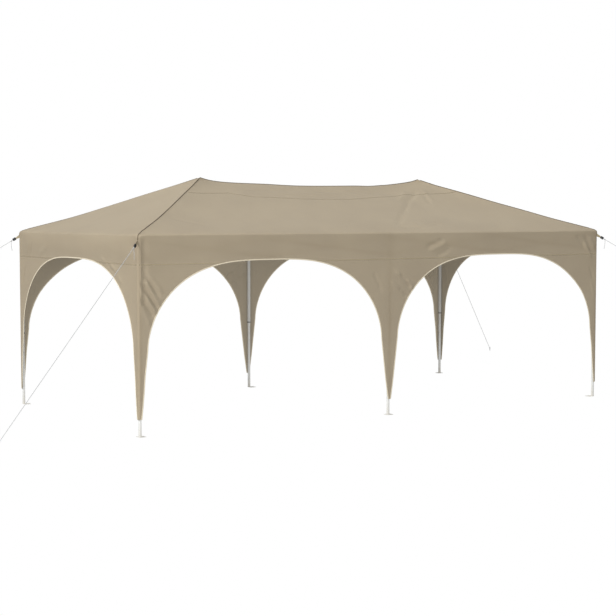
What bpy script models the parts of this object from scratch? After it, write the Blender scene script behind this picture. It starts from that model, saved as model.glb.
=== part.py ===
"""A pop-up party tent, 3 by 6 metres, with a two-peak hip roof and arched sides.

Metres, +Z up. The origin is on the ground under the middle of the tent, +X runs along its
length and the side at -Y is its front. Six square telescoping legs carry brackets, scissor
trusses and two peak posts, and the canopy lies over them. Four guy ropes run to ground pegs.
"""
import math

import bmesh
import bpy
from mathutils import Matrix, Vector

# Driving dimensions
LEG_SPACING_X = 5.92        # between the centres of the end legs, along the tent
LEG_SPACING_Y = 2.96        # between the centres of the front and back legs
EAVE_HEIGHT = 1.940         # upper side of the roof at its edge
PEAK_HEIGHT = 2.555         # upper side of the roof at its two peaks
RIDGE_LOW = 2.479           # the ridge half way between the peaks
RIDGE_SHOULDER = 0.026      # rise of the ridge from there to the foot of a peak
SHOULDER_POWER = 1.5
TIP_LENGTH = 0.15           # over which the cloth rises sharply to a peak
SAG_AT_HIP = 0.012          # drop of a roof panel half way up, along its hips
SAG_IN_MIDDLE = 0.016       # and how much more of it there is in the panel's middle
ROOF_ROWS = 8
LONG_COLUMNS = 20
END_COLUMNS = 10
SHEET = 0.003               # canopy, modelled thicker than the real cloth
GAP = 0.0003                # between pieces that touch
OVERLAP = 0.002             # how far joined shapes run into each other
OVERRUN = 0.01              # how far a cutting shape runs past what it cuts
STEP = 0.0004               # keeps joined faces out of one plane

UPPER_TUBE = 0.030
LOWER_TUBE = 0.025
TUBE_WALL = 0.0015
UPPER_TUBE_END = 0.800      # lower end of the outer leg tube, above ground
LEG_OVERLAP = 0.220         # of the inner tube inside the outer one
BUTTON_HEIGHT = 0.828       # snap button, above ground
BUTTON_RADIUS = 0.004
BUTTON_OUT = 0.004
FOOT_SIDE = 0.075
FOOT_THICK = 0.004
TUBE_FLOOR = 0.001          # closes the inner tube above its foot plate
PEG_HOLE_RADIUS = 0.005
PEG_HOLE_INSET = 0.017      # from the plate's two inward edges

COLLAR_WALL = 0.0017        # brackets and sliders, on the side that faces the canopy
COLLAR_INNER = 0.021        # leg axis to a collar's inward faces
TOP_PIVOT = 1.900
LOW_PIVOT = 1.725
PIVOT_REACH = 0.042         # leg or post axis to the first pivot of a bar
EAR_REACH = 0.056
EAR_HALF = 0.0047           # half an ear's thickness
EAR_HEIGHT = 0.036
EAR_ROOT = -0.004           # start of an ear that grows from a truss, past its plane
BAR_INNER = 0.005           # truss plane to a bar's near side
BAR_OUTER = 0.013           # and to its far side
BAR_HEIGHT = 0.024
BAR_TAIL = 0.014            # bar end beyond its pivot
PIN_RADIUS = 0.005
PIN_HALF = 0.014
PIN_SIDES = 6
SLIDER_HALF = 0.022
BRACKET_CAP = 0.010
BRACKET_LOW = 1.868
BRACKET_RISE = 0.0009       # the roof has risen this much from its edge to over a leg

POST_RADIUS = 0.0125
POST_SIDES = 16
POST_BELOW = 0.030          # post below its lower hub's middle
HUB_HALF = 0.020
CAP_RADIUS = 0.040
CAP_RIM = 0.012
CAP_TIP = 0.002             # radius of the cap's blunt tip
CAP_SLOPE = 0.75            # the cap falls away faster than the cloth over it

TIP_HEIGHT = 0.175          # lower tips of the leg panels
TIP_HALF = 0.0154           # half width there
TIP_TAPER = 0.1247          # half width gained per metre of height
SPRING_HEIGHT = 0.8535      # where the arch leaves the straight taper
CROWN_HEIGHT = 1.706
ARCH_RISE_POWER = 1.716
ARCH_RUN_POWER = 3.097
ARCH_STEPS = 14

PEG_OUT_X = 2.50            # from the canopy's corner to the peg
PEG_OUT_Y = 2.00
ROPE_TOP = 1.903            # rope line at the canopy's corner
ROPE_FOOT = 0.030           # and at the peg
ROPE_STOP = 0.007           # from the peg's axis to the rope's end
ROPE_RADIUS = 0.0025
ROPE_SIDES = 8
KNOT_REACH = 0.014          # from the adjuster to the knot
TAIL_LENGTH = 0.125         # loose end of a rope below its knot
TAIL_RADIUS = 0.0023
TAB_LENGTH = 0.052
TAB_HEIGHT = 0.036
TAB_END_HEIGHT = 0.0144
TAB_GAP = 0.0005            # from the canopy's corner
ADJUSTER_SIZE = (0.028, 0.010, 0.019)
ADJUSTER_LAP = 0.004        # of the adjuster over the tab's end
PEG_RADIUS = 0.004
PEG_TOP = 0.052
HOOK_LENGTH = 0.030

# Worked out from those
HALF_X = LEG_SPACING_X / 2
HALF_Y = LEG_SPACING_Y / 2
PEAK_X = LEG_SPACING_X / 4
COLLAR_OUTER = UPPER_TUBE / 2 + GAP + COLLAR_WALL
CLOTH_IN = COLLAR_OUTER + GAP
CLOTH_OUT = CLOTH_IN + SHEET
EDGE_X = HALF_X + CLOTH_OUT
EDGE_Y = HALF_Y + CLOTH_OUT
WALL_TOP = EAVE_HEIGHT - SHEET - GAP
BRACKET_TOP = WALL_TOP + BRACKET_RISE
SOCKET_HALF = UPPER_TUBE / 2 + GAP      # half the bore of a bracket or slider

SIDES_X = {"left": -1, "right": 1}
SIDES_Y = {"front": -1, "back": 1}

for old in list(bpy.data.objects):
    bpy.data.objects.remove(old, do_unlink=True)


def material(name, colour, roughness, metallic=0.0):
    made = bpy.data.materials.new(name)
    made.use_nodes = True
    shader = made.node_tree.nodes["Principled BSDF"]
    shader.inputs["Base Color"].default_value = (*colour, 1.0)
    shader.inputs["Roughness"].default_value = roughness
    shader.inputs["Metallic"].default_value = metallic
    return made


CANOPY_CLOTH = material("canopy_cloth", (0.44, 0.37, 0.27), 0.8)
FRAME_STEEL = material("frame_steel", (0.80, 0.80, 0.79), 0.35)
BRACKET_PLASTIC = material("bracket_plastic", (0.16, 0.16, 0.16), 0.5)
ADJUSTER_PLASTIC = material("adjuster_plastic", (0.02, 0.02, 0.02), 0.45)
ROPE = material("rope", (0.50, 0.50, 0.48), 0.85)
PEG_STEEL = material("peg_steel", (0.55, 0.56, 0.57), 0.4, 1.0)


def add_object(name, shape, finish):
    """Turn a bmesh into a named object, with its faces pointing out."""
    bmesh.ops.recalc_face_normals(shape, faces=shape.faces)
    mesh = bpy.data.meshes.new(name)
    shape.to_mesh(mesh)
    shape.free()
    mesh.materials.append(finish)
    made = bpy.data.objects.new(name, mesh)
    bpy.context.scene.collection.objects.link(made)
    return made


def block(shape, low, high):
    """Add a box between two corners."""
    size = Vector(high) - Vector(low)
    middle = (Vector(high) + Vector(low)) / 2
    place = Matrix.Translation(middle) @ Matrix.Diagonal((*size, 1.0))
    bmesh.ops.create_cube(shape, size=1.0, matrix=place)


def rod(shape, start, end, radius, sides=12, end_radius=None):
    """Add a round bar between two points, or a cone where the end radius differs."""
    start, end = Vector(start), Vector(end)
    turn = (end - start).to_track_quat("Z", "Y").to_matrix().to_4x4()
    place = Matrix.Translation((start + end) / 2) @ turn
    bmesh.ops.create_cone(
        shape, cap_ends=True, segments=sides, radius1=radius,
        radius2=radius if end_radius is None else end_radius,
        depth=(end - start).length, matrix=place)


def bar(shape, start, end, across, layer):
    """Add a flat truss bar that runs past both its pivots, in the layer on one side."""
    start, end, across = Vector(start), Vector(end), Vector(across)
    along = (end - start).normalized()
    upright = across.cross(along)
    middle = (start + end) / 2 + across * (layer * (BAR_INNER + BAR_OUTER) / 2)
    turn = Matrix((along, across, upright)).transposed().to_4x4()
    size = ((end - start).length + 2 * BAR_TAIL, BAR_OUTER - BAR_INNER, BAR_HEIGHT)
    place = Matrix.Translation(middle) @ turn @ Matrix.Diagonal((*size, 1.0))
    bmesh.ops.create_cube(shape, size=1.0, matrix=place)


def pin(shape, point, across):
    """Add a pivot pin through both layers of bars."""
    point, across = Vector(point), Vector(across)
    rod(shape, point - across * PIN_HALF, point + across * PIN_HALF, PIN_RADIUS, PIN_SIDES)


def ear(shape, centre, direction, start):
    """Add an upright ear that reaches out from a collar or a post to a pivot."""
    direction = Vector(direction)
    across = Vector((-direction.y, direction.x, 0.0))
    turn = Matrix((direction, across, Vector((0, 0, 1)))).transposed().to_4x4()
    middle = Vector(centre) + direction * (start + EAR_REACH) / 2
    size = (EAR_REACH - start, 2 * EAR_HALF, EAR_HEIGHT)
    place = Matrix.Translation(middle) @ turn @ Matrix.Diagonal((*size, 1.0))
    bmesh.ops.create_cube(shape, size=1.0, matrix=place)


def combine(name, base, other, operation, finish):
    """Join or cut two meshes and keep the result as one object without modifiers."""
    body = add_object(name + "_body", base, finish)
    tool = add_object(name + "_tool", other, finish)
    change = body.modifiers.new("combine", "BOOLEAN")
    change.operation = operation
    change.solver = "EXACT"
    change.use_self = True
    change.object = tool
    bpy.context.view_layer.update()
    evaluated = body.evaluated_get(bpy.context.evaluated_depsgraph_get())
    mesh = bpy.data.meshes.new_from_object(evaluated)
    for helper in (body, tool):
        bpy.data.objects.remove(helper, do_unlink=True)
    result = bmesh.new()
    result.from_mesh(mesh)
    bpy.data.meshes.remove(mesh)
    bmesh.ops.dissolve_limit(
        result, angle_limit=math.radians(0.05), verts=result.verts, edges=result.edges)
    return result


def leg_corners():
    """Yield each leg's name, its place, and the signs that point inward from it."""
    for side_y, sign_y in SIDES_Y.items():
        yield f"{side_y}_left", -HALF_X, sign_y * HALF_Y, (1,), -sign_y
        yield f"{side_y}_middle", 0.0, sign_y * HALF_Y, (-1, 1), -sign_y
        yield f"{side_y}_right", HALF_X, sign_y * HALF_Y, (-1,), -sign_y


def collar_block(shape, x, y, inward_x, inward_y, low, high):
    """Add the body of a bracket or slider: thin outside, thicker on its inward sides."""
    reach_x = [COLLAR_INNER * s for s in inward_x]
    if len(inward_x) == 1:
        reach_x.append(-COLLAR_OUTER * inward_x[0])
    reach_y = (COLLAR_INNER * inward_y, -COLLAR_OUTER * inward_y)
    block(shape, (x + min(reach_x), y + min(reach_y), low),
          (x + max(reach_x), y + max(reach_y), high))


# Roof: four panels that meet at the hips and the ridge

def ridge_height(x):
    """Height of the ridge: it sags between the peaks and rises sharply at each one."""
    share = min(1.0, abs(x) / PEAK_X)
    shoulder = RIDGE_SHOULDER * share ** SHOULDER_POWER
    rise = PEAK_HEIGHT - RIDGE_LOW - RIDGE_SHOULDER
    return RIDGE_LOW + shoulder + rise * math.exp((share - 1.0) * PEAK_X / TIP_LENGTH)


def roof_sag(along, up):
    """Drop of the cloth below the straight line from the eave to the ridge."""
    deepest = SAG_AT_HIP + SAG_IN_MIDDLE * math.sin(math.pi * along)
    return deepest * 4 * up * (1 - up)


def roof_panel(name, place_eave, place_top, columns):
    """Skin a panel between its eave and its upper edge, and give it the cloth's thickness."""
    shape = bmesh.new()
    layers = []
    for drop in (0.0, SHEET):
        grid = []
        for row in range(ROOF_ROWS + 1):
            up = row / ROOF_ROWS
            line = []
            for column in range(columns + 1):
                along = column / columns
                point = place_eave(along).lerp(place_top(along), up)
                point.z -= roof_sag(along, up) + drop
                line.append(shape.verts.new(point))
            grid.append(line)
        layers.append(grid)
    top, under = layers
    for row in range(ROOF_ROWS):
        for column in range(columns):
            a, b = top[row][column], top[row][column + 1]
            c, d = top[row + 1][column + 1], top[row + 1][column]
            shape.faces.new((a, b, c, d))
            a, b = under[row][column], under[row][column + 1]
            c, d = under[row + 1][column + 1], under[row + 1][column]
            shape.faces.new((d, c, b, a))
    rim_top = (top[0] + [line[-1] for line in top[1:]] + top[-1][-2::-1]
               + [line[0] for line in top[-2:0:-1]])
    rim_under = (under[0] + [line[-1] for line in under[1:]] + under[-1][-2::-1]
                 + [line[0] for line in under[-2:0:-1]])
    for index, corner in enumerate(rim_top):
        after = (index + 1) % len(rim_top)
        shape.faces.new((corner, rim_under[index], rim_under[after], rim_top[after]))
    bmesh.ops.remove_doubles(shape, verts=shape.verts, dist=GAP / 10)
    return add_object(name, shape, CANOPY_CLOTH)


def long_panel(side, sign):
    def eave(along):
        reach = EDGE_X - GAP
        return Vector((-reach + 2 * reach * along, sign * EDGE_Y, EAVE_HEIGHT))

    def ridge(along):
        x = (-1 + 2 * along) * (PEAK_X - GAP)
        return Vector((x, sign * GAP, ridge_height(x)))

    roof_panel(f"roof_{side}", eave, ridge, LONG_COLUMNS)


def end_panel(side, sign):
    def eave(along):
        reach = EDGE_Y - GAP
        return Vector((sign * EDGE_X, -reach + 2 * reach * along, EAVE_HEIGHT))

    def peak(along):
        return Vector((sign * (PEAK_X + GAP), 0.0, PEAK_HEIGHT))

    roof_panel(f"roof_{side}", eave, peak, END_COLUMNS)


for side, sign in SIDES_Y.items():
    long_panel(side, sign)
for side, sign in SIDES_X.items():
    end_panel(side, sign)


# Walls: a straight valance and the arched panels below it, which taper down each leg

def arch_edge(half_span):
    """Half width of a leg panel at each height, from its tip up to the crown."""
    spring_half = TIP_HALF + TIP_TAPER * (SPRING_HEIGHT - TIP_HEIGHT)
    points = [(TIP_HALF, TIP_HEIGHT), (spring_half, SPRING_HEIGHT)]
    for step in range(1, ARCH_STEPS + 1):
        share = math.sin(math.pi / 2 * step / ARCH_STEPS)
        run = 1 - (1 - share ** ARCH_RISE_POWER) ** (1 / ARCH_RUN_POWER)
        points.append((spring_half + (half_span - spring_half) * run,
                       SPRING_HEIGHT + (CROWN_HEIGHT - SPRING_HEIGHT) * share))
    return points


def wall_outline(reach, legs):
    """Outline of a wall, as distances along it and heights, with an arch between each two legs."""
    outline = [(-reach, WALL_TOP)]
    for left, right in zip(legs, legs[1:]):
        edge = arch_edge((right - left) / 2)
        if left == legs[0]:
            outline.append((left, TIP_HEIGHT))
        outline += [(left + half, height) for half, height in edge]
        outline += [(right - half, height) for half, height in reversed(edge[:-1])]
    outline += [(legs[-1], TIP_HEIGHT), (reach, WALL_TOP)]
    return outline


def wall(name, outline, place):
    """Extrude a wall's outline by the cloth's thickness."""
    shape = bmesh.new()
    near = [shape.verts.new(place(along, height, CLOTH_OUT)) for along, height in outline]
    far = [shape.verts.new(place(along, height, CLOTH_IN)) for along, height in outline]
    shape.faces.new(near)
    shape.faces.new(reversed(far))
    for index in range(len(outline)):
        after = (index + 1) % len(outline)
        shape.faces.new((near[index], far[index], far[after], near[after]))
    return add_object(name, shape, CANOPY_CLOTH)


for side, sign in SIDES_Y.items():
    wall(f"wall_{side}", wall_outline(EDGE_X, (-EDGE_X, 0.0, EDGE_X)),
         lambda along, height, out, sign=sign: (along, sign * (HALF_Y + out), height))
END_REACH = HALF_Y + CLOTH_IN - GAP
for side, sign in SIDES_X.items():
    wall(f"wall_{side}", wall_outline(END_REACH, (-END_REACH, END_REACH)),
         lambda along, height, out, sign=sign: (sign * (HALF_X + out), along, height))


# Legs: an outer tube with its snap button, and an inner tube that stands on a foot plate

def tube(x, y, side, low, high):
    """Two blocks, a tube's outside and its bore, where the bore may run past the ends."""
    outside, bore = bmesh.new(), bmesh.new()
    half = side / 2
    block(outside, (x - half, y - half, low), (x + half, y + half, high))
    half -= TUBE_WALL
    block(bore, (x - half, y - half, low - OVERRUN), (x + half, y + half, high + OVERRUN))
    return outside, bore


def upper_leg(name, x, y, inward_y):
    top = BRACKET_TOP - BRACKET_CAP - GAP
    outside, bore = tube(x, y, UPPER_TUBE, UPPER_TUBE_END, top)
    face = y + inward_y * UPPER_TUBE / 2
    rod(outside, (x, face - inward_y * TUBE_WALL / 2, BUTTON_HEIGHT),
        (x, face + inward_y * BUTTON_OUT, BUTTON_HEIGHT), BUTTON_RADIUS)
    hollow = combine(name, outside, bore, "DIFFERENCE", FRAME_STEEL)
    add_object(f"upper_leg_{name}", hollow, FRAME_STEEL)


def lower_leg(name, x, y, inward_x, inward_y):
    outside, bore = tube(x, y, LOWER_TUBE, FOOT_THICK / 2, UPPER_TUBE_END + LEG_OVERLAP)
    for corner in bore.verts:
        corner.co.z = max(corner.co.z, FOOT_THICK + TUBE_FLOOR)
    tube_shape = combine(name, outside, bore, "DIFFERENCE", FRAME_STEEL)
    plate, hole = bmesh.new(), bmesh.new()
    outer = LOWER_TUBE / 2 + STEP
    reach_x = sorted((x - inward_x * outer, x + inward_x * (FOOT_SIDE - outer)))
    reach_y = sorted((y - inward_y * outer, y + inward_y * (FOOT_SIDE - outer)))
    block(plate, (reach_x[0], reach_y[0], 0.0), (reach_x[1], reach_y[1], FOOT_THICK))
    hole_x = x + inward_x * (FOOT_SIDE - outer - PEG_HOLE_INSET)
    hole_y = y + inward_y * (FOOT_SIDE - outer - PEG_HOLE_INSET)
    rod(hole, (hole_x, hole_y, -OVERRUN), (hole_x, hole_y, OVERRUN), PEG_HOLE_RADIUS)
    plate_shape = combine(name, plate, hole, "DIFFERENCE", FRAME_STEEL)
    leg = combine(name, tube_shape, plate_shape, "UNION", FRAME_STEEL)
    made = add_object(f"lower_leg_{name}", leg, FRAME_STEEL)
    made.data.transform(Matrix.Translation((-x, -y, 0.0)))
    made.location = (x, y, 0.0)


def top_bracket(name, x, y, inward_x, inward_y):
    body, pocket = bmesh.new(), bmesh.new()
    collar_block(body, x, y, inward_x, inward_y, BRACKET_LOW, BRACKET_TOP)
    block(pocket, (x - SOCKET_HALF, y - SOCKET_HALF, BRACKET_LOW - OVERRUN),
          (x + SOCKET_HALF, y + SOCKET_HALF, BRACKET_TOP - BRACKET_CAP))
    cap = combine(name, body, pocket, "DIFFERENCE", BRACKET_PLASTIC)
    ears = bmesh.new()
    for direction in [(s, 0, 0) for s in inward_x] + [(0, inward_y, 0)]:
        ear(ears, (x, y, TOP_PIVOT), direction, COLLAR_INNER - OVERLAP)
    add_object(f"top_bracket_{name}", combine(name, cap, ears, "UNION", BRACKET_PLASTIC), BRACKET_PLASTIC)


for name, x, y, inward_x, inward_y in leg_corners():
    upper_leg(name, x, y, inward_y)
    lower_leg(name, x, y, inward_x[-1], inward_y)
    top_bracket(name, x, y, inward_x, inward_y)


# Trusses: flat bars in crossed pairs, pinned where they cross and where two pairs meet

def truss(name, centre, along, stations, leg_stations, inward, sliders=()):
    """One straight run of crossed bars; its sliders, if it has any, are fused to it."""
    centre, along = Vector(centre), Vector(along)
    across = Vector((-along.y, along.x, 0.0))
    frame, extras = bmesh.new(), bmesh.new()

    def spot(distance, height):
        return centre + along * distance + Vector((0, 0, height))

    for start, end in zip(stations, stations[1:]):
        first = start + (PIVOT_REACH if start in leg_stations else 0.0)
        last = end - (PIVOT_REACH if end in leg_stations else 0.0)
        bar(frame, spot(first, LOW_PIVOT), spot(last, TOP_PIVOT), across, 1)
        bar(frame, spot(first, TOP_PIVOT), spot(last, LOW_PIVOT), across, -1)
        pin(extras, spot((first + last) / 2, (LOW_PIVOT + TOP_PIVOT) / 2), across)
    for station in stations:
        if station in leg_stations:
            continue
        for height in (LOW_PIVOT, TOP_PIVOT):
            pin(extras, spot(station, height), across)
            for direction in inward:
                ear(extras, spot(station, height), direction, EAR_ROOT)
    for x, y, inward_x, inward_y in sliders:
        collar, bore = bmesh.new(), bmesh.new()
        collar_block(collar, x, y, inward_x, inward_y,
                     LOW_PIVOT - SLIDER_HALF, LOW_PIVOT + SLIDER_HALF)
        block(bore, (x - SOCKET_HALF, y - SOCKET_HALF, LOW_PIVOT - SLIDER_HALF - OVERRUN),
              (x + SOCKET_HALF, y + SOCKET_HALF, LOW_PIVOT + SLIDER_HALF + OVERRUN))
        ring = combine(name, collar, bore, "DIFFERENCE", FRAME_STEEL)
        copied = bpy.data.meshes.new("ring")
        ring.to_mesh(copied)
        ring.free()
        extras.from_mesh(copied)
        bpy.data.meshes.remove(copied)
        for sign in inward_x:
            ear(extras, (x, y, LOW_PIVOT), (sign, 0, 0), COLLAR_INNER - OVERLAP)
            pin(extras, (x + sign * PIVOT_REACH, y, LOW_PIVOT), (0, 1, 0))
        ear(extras, (x, y, LOW_PIVOT), (0, inward_y, 0), COLLAR_INNER - OVERLAP)
    add_object(name, combine(name, frame, extras, "UNION", FRAME_STEEL), FRAME_STEEL)


LONG_STATIONS = (-HALF_X, -PEAK_X, 0.0, PEAK_X, HALF_X)
LONG_LEGS = (-HALF_X, 0.0, HALF_X)
CROSS_STATIONS = (-HALF_Y, 0.0, HALF_Y)
CROSS_LEGS = (-HALF_Y, HALF_Y)
for side, sign in SIDES_Y.items():
    row_legs = [leg[1:] for leg in leg_corners() if leg[0].startswith(side)]
    truss(f"truss_{side}", (0, sign * HALF_Y, 0), (1, 0, 0), LONG_STATIONS, LONG_LEGS,
          [(0, -sign, 0)], row_legs)
for side, sign in SIDES_X.items():
    truss(f"truss_{side}", (sign * HALF_X, 0, 0), (0, 1, 0), CROSS_STATIONS, CROSS_LEGS,
          [(-sign, 0, 0)])
truss("truss_middle", (0, 0, 0), (0, 1, 0), CROSS_STATIONS, CROSS_LEGS,
      [(-1, 0, 0), (1, 0, 0)])


# Peaks: a post under each one, held by four pairs of crossed bars


def peak_frame(name, x):
    frame, extras = bmesh.new(), bmesh.new()
    top = PEAK_HEIGHT - SHEET - CAP_TIP - GAP
    rim = top - CAP_SLOPE * CAP_RADIUS
    rod(frame, (x, 0, LOW_PIVOT - POST_BELOW), (x, 0, (rim + top) / 2), POST_RADIUS, POST_SIDES)
    rod(extras, (x, 0, rim), (x, 0, top), CAP_RADIUS, POST_SIDES, CAP_TIP)
    rod(extras, (x, 0, rim - CAP_RIM), (x, 0, rim + STEP), CAP_RADIUS + STEP, POST_SIDES)
    for height in (LOW_PIVOT, TOP_PIVOT):
        block(extras, (x - HUB_HALF, -HUB_HALF, height - HUB_HALF),
              (x + HUB_HALF, HUB_HALF, height + HUB_HALF))
    for direction in ((1, 0, 0), (-1, 0, 0), (0, 1, 0), (0, -1, 0)):
        direction = Vector(direction)
        across = Vector((-direction.y, direction.x, 0.0))
        near = Vector((x, 0, 0)) + direction * PIVOT_REACH
        far = Vector((x, 0, 0)) + direction * (PEAK_X - PIVOT_REACH)
        low, high = Vector((0, 0, LOW_PIVOT)), Vector((0, 0, TOP_PIVOT))
        bar(frame, near + low, far + high, across, 1)
        bar(frame, near + high, far + low, across, -1)
        pin(extras, (near + far + low + high) / 2, across)
        for height in (low, high):
            ear(extras, Vector((x, 0, 0)) + height, direction, HUB_HALF - OVERLAP)
            pin(extras, near + height, across)
    add_object(name, combine(name, frame, extras, "UNION", FRAME_STEEL), FRAME_STEEL)


for side, sign in SIDES_X.items():
    peak_frame(f"peak_frame_{side}", sign * PEAK_X)


# Guy ropes: a webbing tab with its adjuster at each corner, a taut rope and a ground peg

def guy(name, sign_x, sign_y):
    corner = Vector((sign_x * EDGE_X, sign_y * EDGE_Y, ROPE_TOP))
    foot = Vector((sign_x * (EDGE_X + PEG_OUT_X), sign_y * (EDGE_Y + PEG_OUT_Y), ROPE_FOOT))
    run = (foot - corner).normalized()
    level = Vector((run.x, run.y, 0.0)).normalized()
    side = Vector((-level.y, level.x, 0.0))
    upright = Vector((0, 0, 1))

    tab, adjuster = bmesh.new(), bmesh.new()
    near = corner + level * TAB_GAP
    far = corner + run * TAB_LENGTH
    profile = [near + upright * TAB_HEIGHT / 2, near - upright * TAB_HEIGHT / 2,
               far - upright * TAB_END_HEIGHT / 2, far + upright * TAB_END_HEIGHT / 2]
    faces = [[tab.verts.new(point + side * offset) for point in profile]
             for offset in (-SHEET / 2, SHEET / 2)]
    tab.faces.new(faces[0])
    tab.faces.new(reversed(faces[1]))
    for index in range(len(profile)):
        after = (index + 1) % len(profile)
        tab.faces.new((faces[0][index], faces[1][index], faces[1][after], faces[0][after]))
    turn = Matrix((run, side, run.cross(side))).transposed().to_4x4()
    middle = corner + run * (TAB_LENGTH + ADJUSTER_SIZE[0] / 2 - ADJUSTER_LAP)
    place = Matrix.Translation(middle) @ turn @ Matrix.Diagonal((*ADJUSTER_SIZE, 1.0))
    bmesh.ops.create_cube(adjuster, size=1.0, matrix=place)
    add_object(f"guy_adjuster_{name}",
               combine(name, tab, adjuster, "UNION", ADJUSTER_PLASTIC), ADJUSTER_PLASTIC)

    rope, loose = bmesh.new(), bmesh.new()
    start = corner + run * (TAB_LENGTH + ADJUSTER_SIZE[0] - ADJUSTER_LAP + GAP)
    rod(rope, start, foot - run * ROPE_STOP, ROPE_RADIUS, ROPE_SIDES)
    knot = start + run * KNOT_REACH
    rod(loose, knot, knot - upright * TAIL_LENGTH, TAIL_RADIUS, ROPE_SIDES)
    add_object(f"guy_rope_{name}", combine(name, rope, loose, "UNION", ROPE), ROPE)

    spike, hook = bmesh.new(), bmesh.new()
    rod(spike, (foot.x, foot.y, 0.0), (foot.x, foot.y, PEG_TOP), PEG_RADIUS)
    bend = Vector((foot.x, foot.y, PEG_TOP - PEG_RADIUS))
    rod(hook, bend - level * OVERLAP / 2, bend + level * HOOK_LENGTH, PEG_RADIUS - STEP)
    add_object(f"peg_{name}", combine(name, spike, hook, "UNION", PEG_STEEL), PEG_STEEL)


for side_y, sign_y in SIDES_Y.items():
    for side_x, sign_x in SIDES_X.items():
        guy(f"{side_y}_{side_x}", sign_x, sign_y)
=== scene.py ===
"""A pop-up party tent, 3 by 6 metres: its steel frame, its sewn canopy and its guy ropes."""
import math

import bmesh
import bpy
import numpy as np
from mathutils import Matrix, Vector, noise
from mathutils.bvhtree import BVHTree
from mathutils.geometry import delaunay_2d_cdt


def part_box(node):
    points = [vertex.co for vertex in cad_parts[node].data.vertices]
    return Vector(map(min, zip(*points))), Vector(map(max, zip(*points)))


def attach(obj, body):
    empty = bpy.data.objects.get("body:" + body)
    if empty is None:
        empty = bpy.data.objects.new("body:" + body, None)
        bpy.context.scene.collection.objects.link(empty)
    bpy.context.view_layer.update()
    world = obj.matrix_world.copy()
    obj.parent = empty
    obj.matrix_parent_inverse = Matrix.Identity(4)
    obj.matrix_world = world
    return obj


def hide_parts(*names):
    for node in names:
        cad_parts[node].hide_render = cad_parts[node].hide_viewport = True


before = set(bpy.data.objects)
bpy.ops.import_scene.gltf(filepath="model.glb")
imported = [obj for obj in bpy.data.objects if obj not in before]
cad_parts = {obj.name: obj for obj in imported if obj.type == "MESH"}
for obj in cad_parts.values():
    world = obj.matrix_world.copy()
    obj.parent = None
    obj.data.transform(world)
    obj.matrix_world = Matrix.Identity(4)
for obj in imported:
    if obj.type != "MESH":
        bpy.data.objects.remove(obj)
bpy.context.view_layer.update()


# The studio. The camera stands where the photographer did, about 2.3 m above the ground and
# 18 m away, behind a short telephoto lens. Floor and backdrop are plain white.

def linear(hex_colour):
    """Turn an sRGB hex colour into the linear values that a shader takes."""
    channels = [int(hex_colour[i:i + 2], 16) / 255 for i in (1, 3, 5)]
    return [c / 12.92 if c <= 0.04045 else ((c + 0.055) / 1.055) ** 2.4 for c in channels] + [1.0]


def shaded(hex_colour, share):
    """A hex colour made darker, or lighter where the share is above 1."""
    return [min(1.0, c * share) for c in linear(hex_colour)[:3]] + [1.0]


def feed(tree, node, inputs):
    """Give a node its inputs, each a plain value, a socket, or a node for its first socket."""
    for name, value in inputs.items():
        if isinstance(value, bpy.types.Node):
            value = next(socket for socket in value.outputs if socket.enabled)
        if isinstance(value, bpy.types.NodeSocket):
            tree.links.new(value, node.inputs[name])
        else:
            node.inputs[name].default_value = value


def add_node(tree, kind, inputs=None, **settings):
    """Add one shader node with its settings and inputs."""
    node = tree.nodes.new("ShaderNode" + kind)
    for name, value in settings.items():
        setattr(node, name, value)
    feed(tree, node, inputs or {})
    return node


def put_in_scene(name, data):
    """Make an object of a camera, a lamp or a mesh, and put it in the scene."""
    thing = bpy.data.objects.new(name, data)
    bpy.context.scene.collection.objects.link(thing)
    return thing


CAMERA_PLACE = Vector((-9.550, -14.851, 2.293))
CAMERA_HEADING = math.radians(32.532)       # from +Y towards +X
CAMERA_TILT = math.radians(-3.971)
lens = bpy.data.cameras.new("camera")
lens.lens = 89.69
lens.sensor_width = 36.0
lens.clip_end = 400.0
camera = put_in_scene("camera", lens)
camera.location = CAMERA_PLACE
camera.rotation_euler = (math.radians(90) + CAMERA_TILT, 0.0, -CAMERA_HEADING)
bpy.context.scene.camera = camera
bpy.context.scene.view_settings.view_transform = "Standard"

WHITE = (1, 1, 1, 1)
BACKDROP_REACH = 160.0
FLOOR_DROP = 0.002          # keeps the floor clear of the foot plates that stand on it
pure_white = bpy.data.materials.new("white_studio_paint")
pure_white.use_nodes = True
pure_white.cycles.emission_sampling = "NONE"
tree = pure_white.node_tree
tree.nodes.remove(tree.nodes["Principled BSDF"])
glow = add_node(tree, "Emission", {"Color": WHITE, "Strength": 1.0})
feed(tree, tree.nodes["Material Output"], {"Surface": glow})


def mesh_of(name, shape):
    """Turn a worked shape into a mesh, and let the shape go."""
    mesh = bpy.data.meshes.new(name)
    shape.to_mesh(mesh)
    shape.free()
    return mesh


def add_backdrop(name, shape):
    """A white surface that only the camera sees, so that the lamps alone light the tent."""
    backdrop = put_in_scene(name, mesh_of(name, shape))
    backdrop.data.materials.append(pure_white)
    for rays in ("diffuse", "glossy", "transmission", "volume_scatter", "shadow"):
        setattr(backdrop, "visible_" + rays, False)


shape = bmesh.new()
bmesh.ops.create_grid(shape, x_segments=1, y_segments=1, size=BACKDROP_REACH,
                      matrix=Matrix.Translation((0, 0, -FLOOR_DROP)))
add_backdrop("floor", shape)
shape = bmesh.new()
bmesh.ops.create_icosphere(shape, subdivisions=4, radius=BACKDROP_REACH)
add_backdrop("backdrop", shape)

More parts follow.
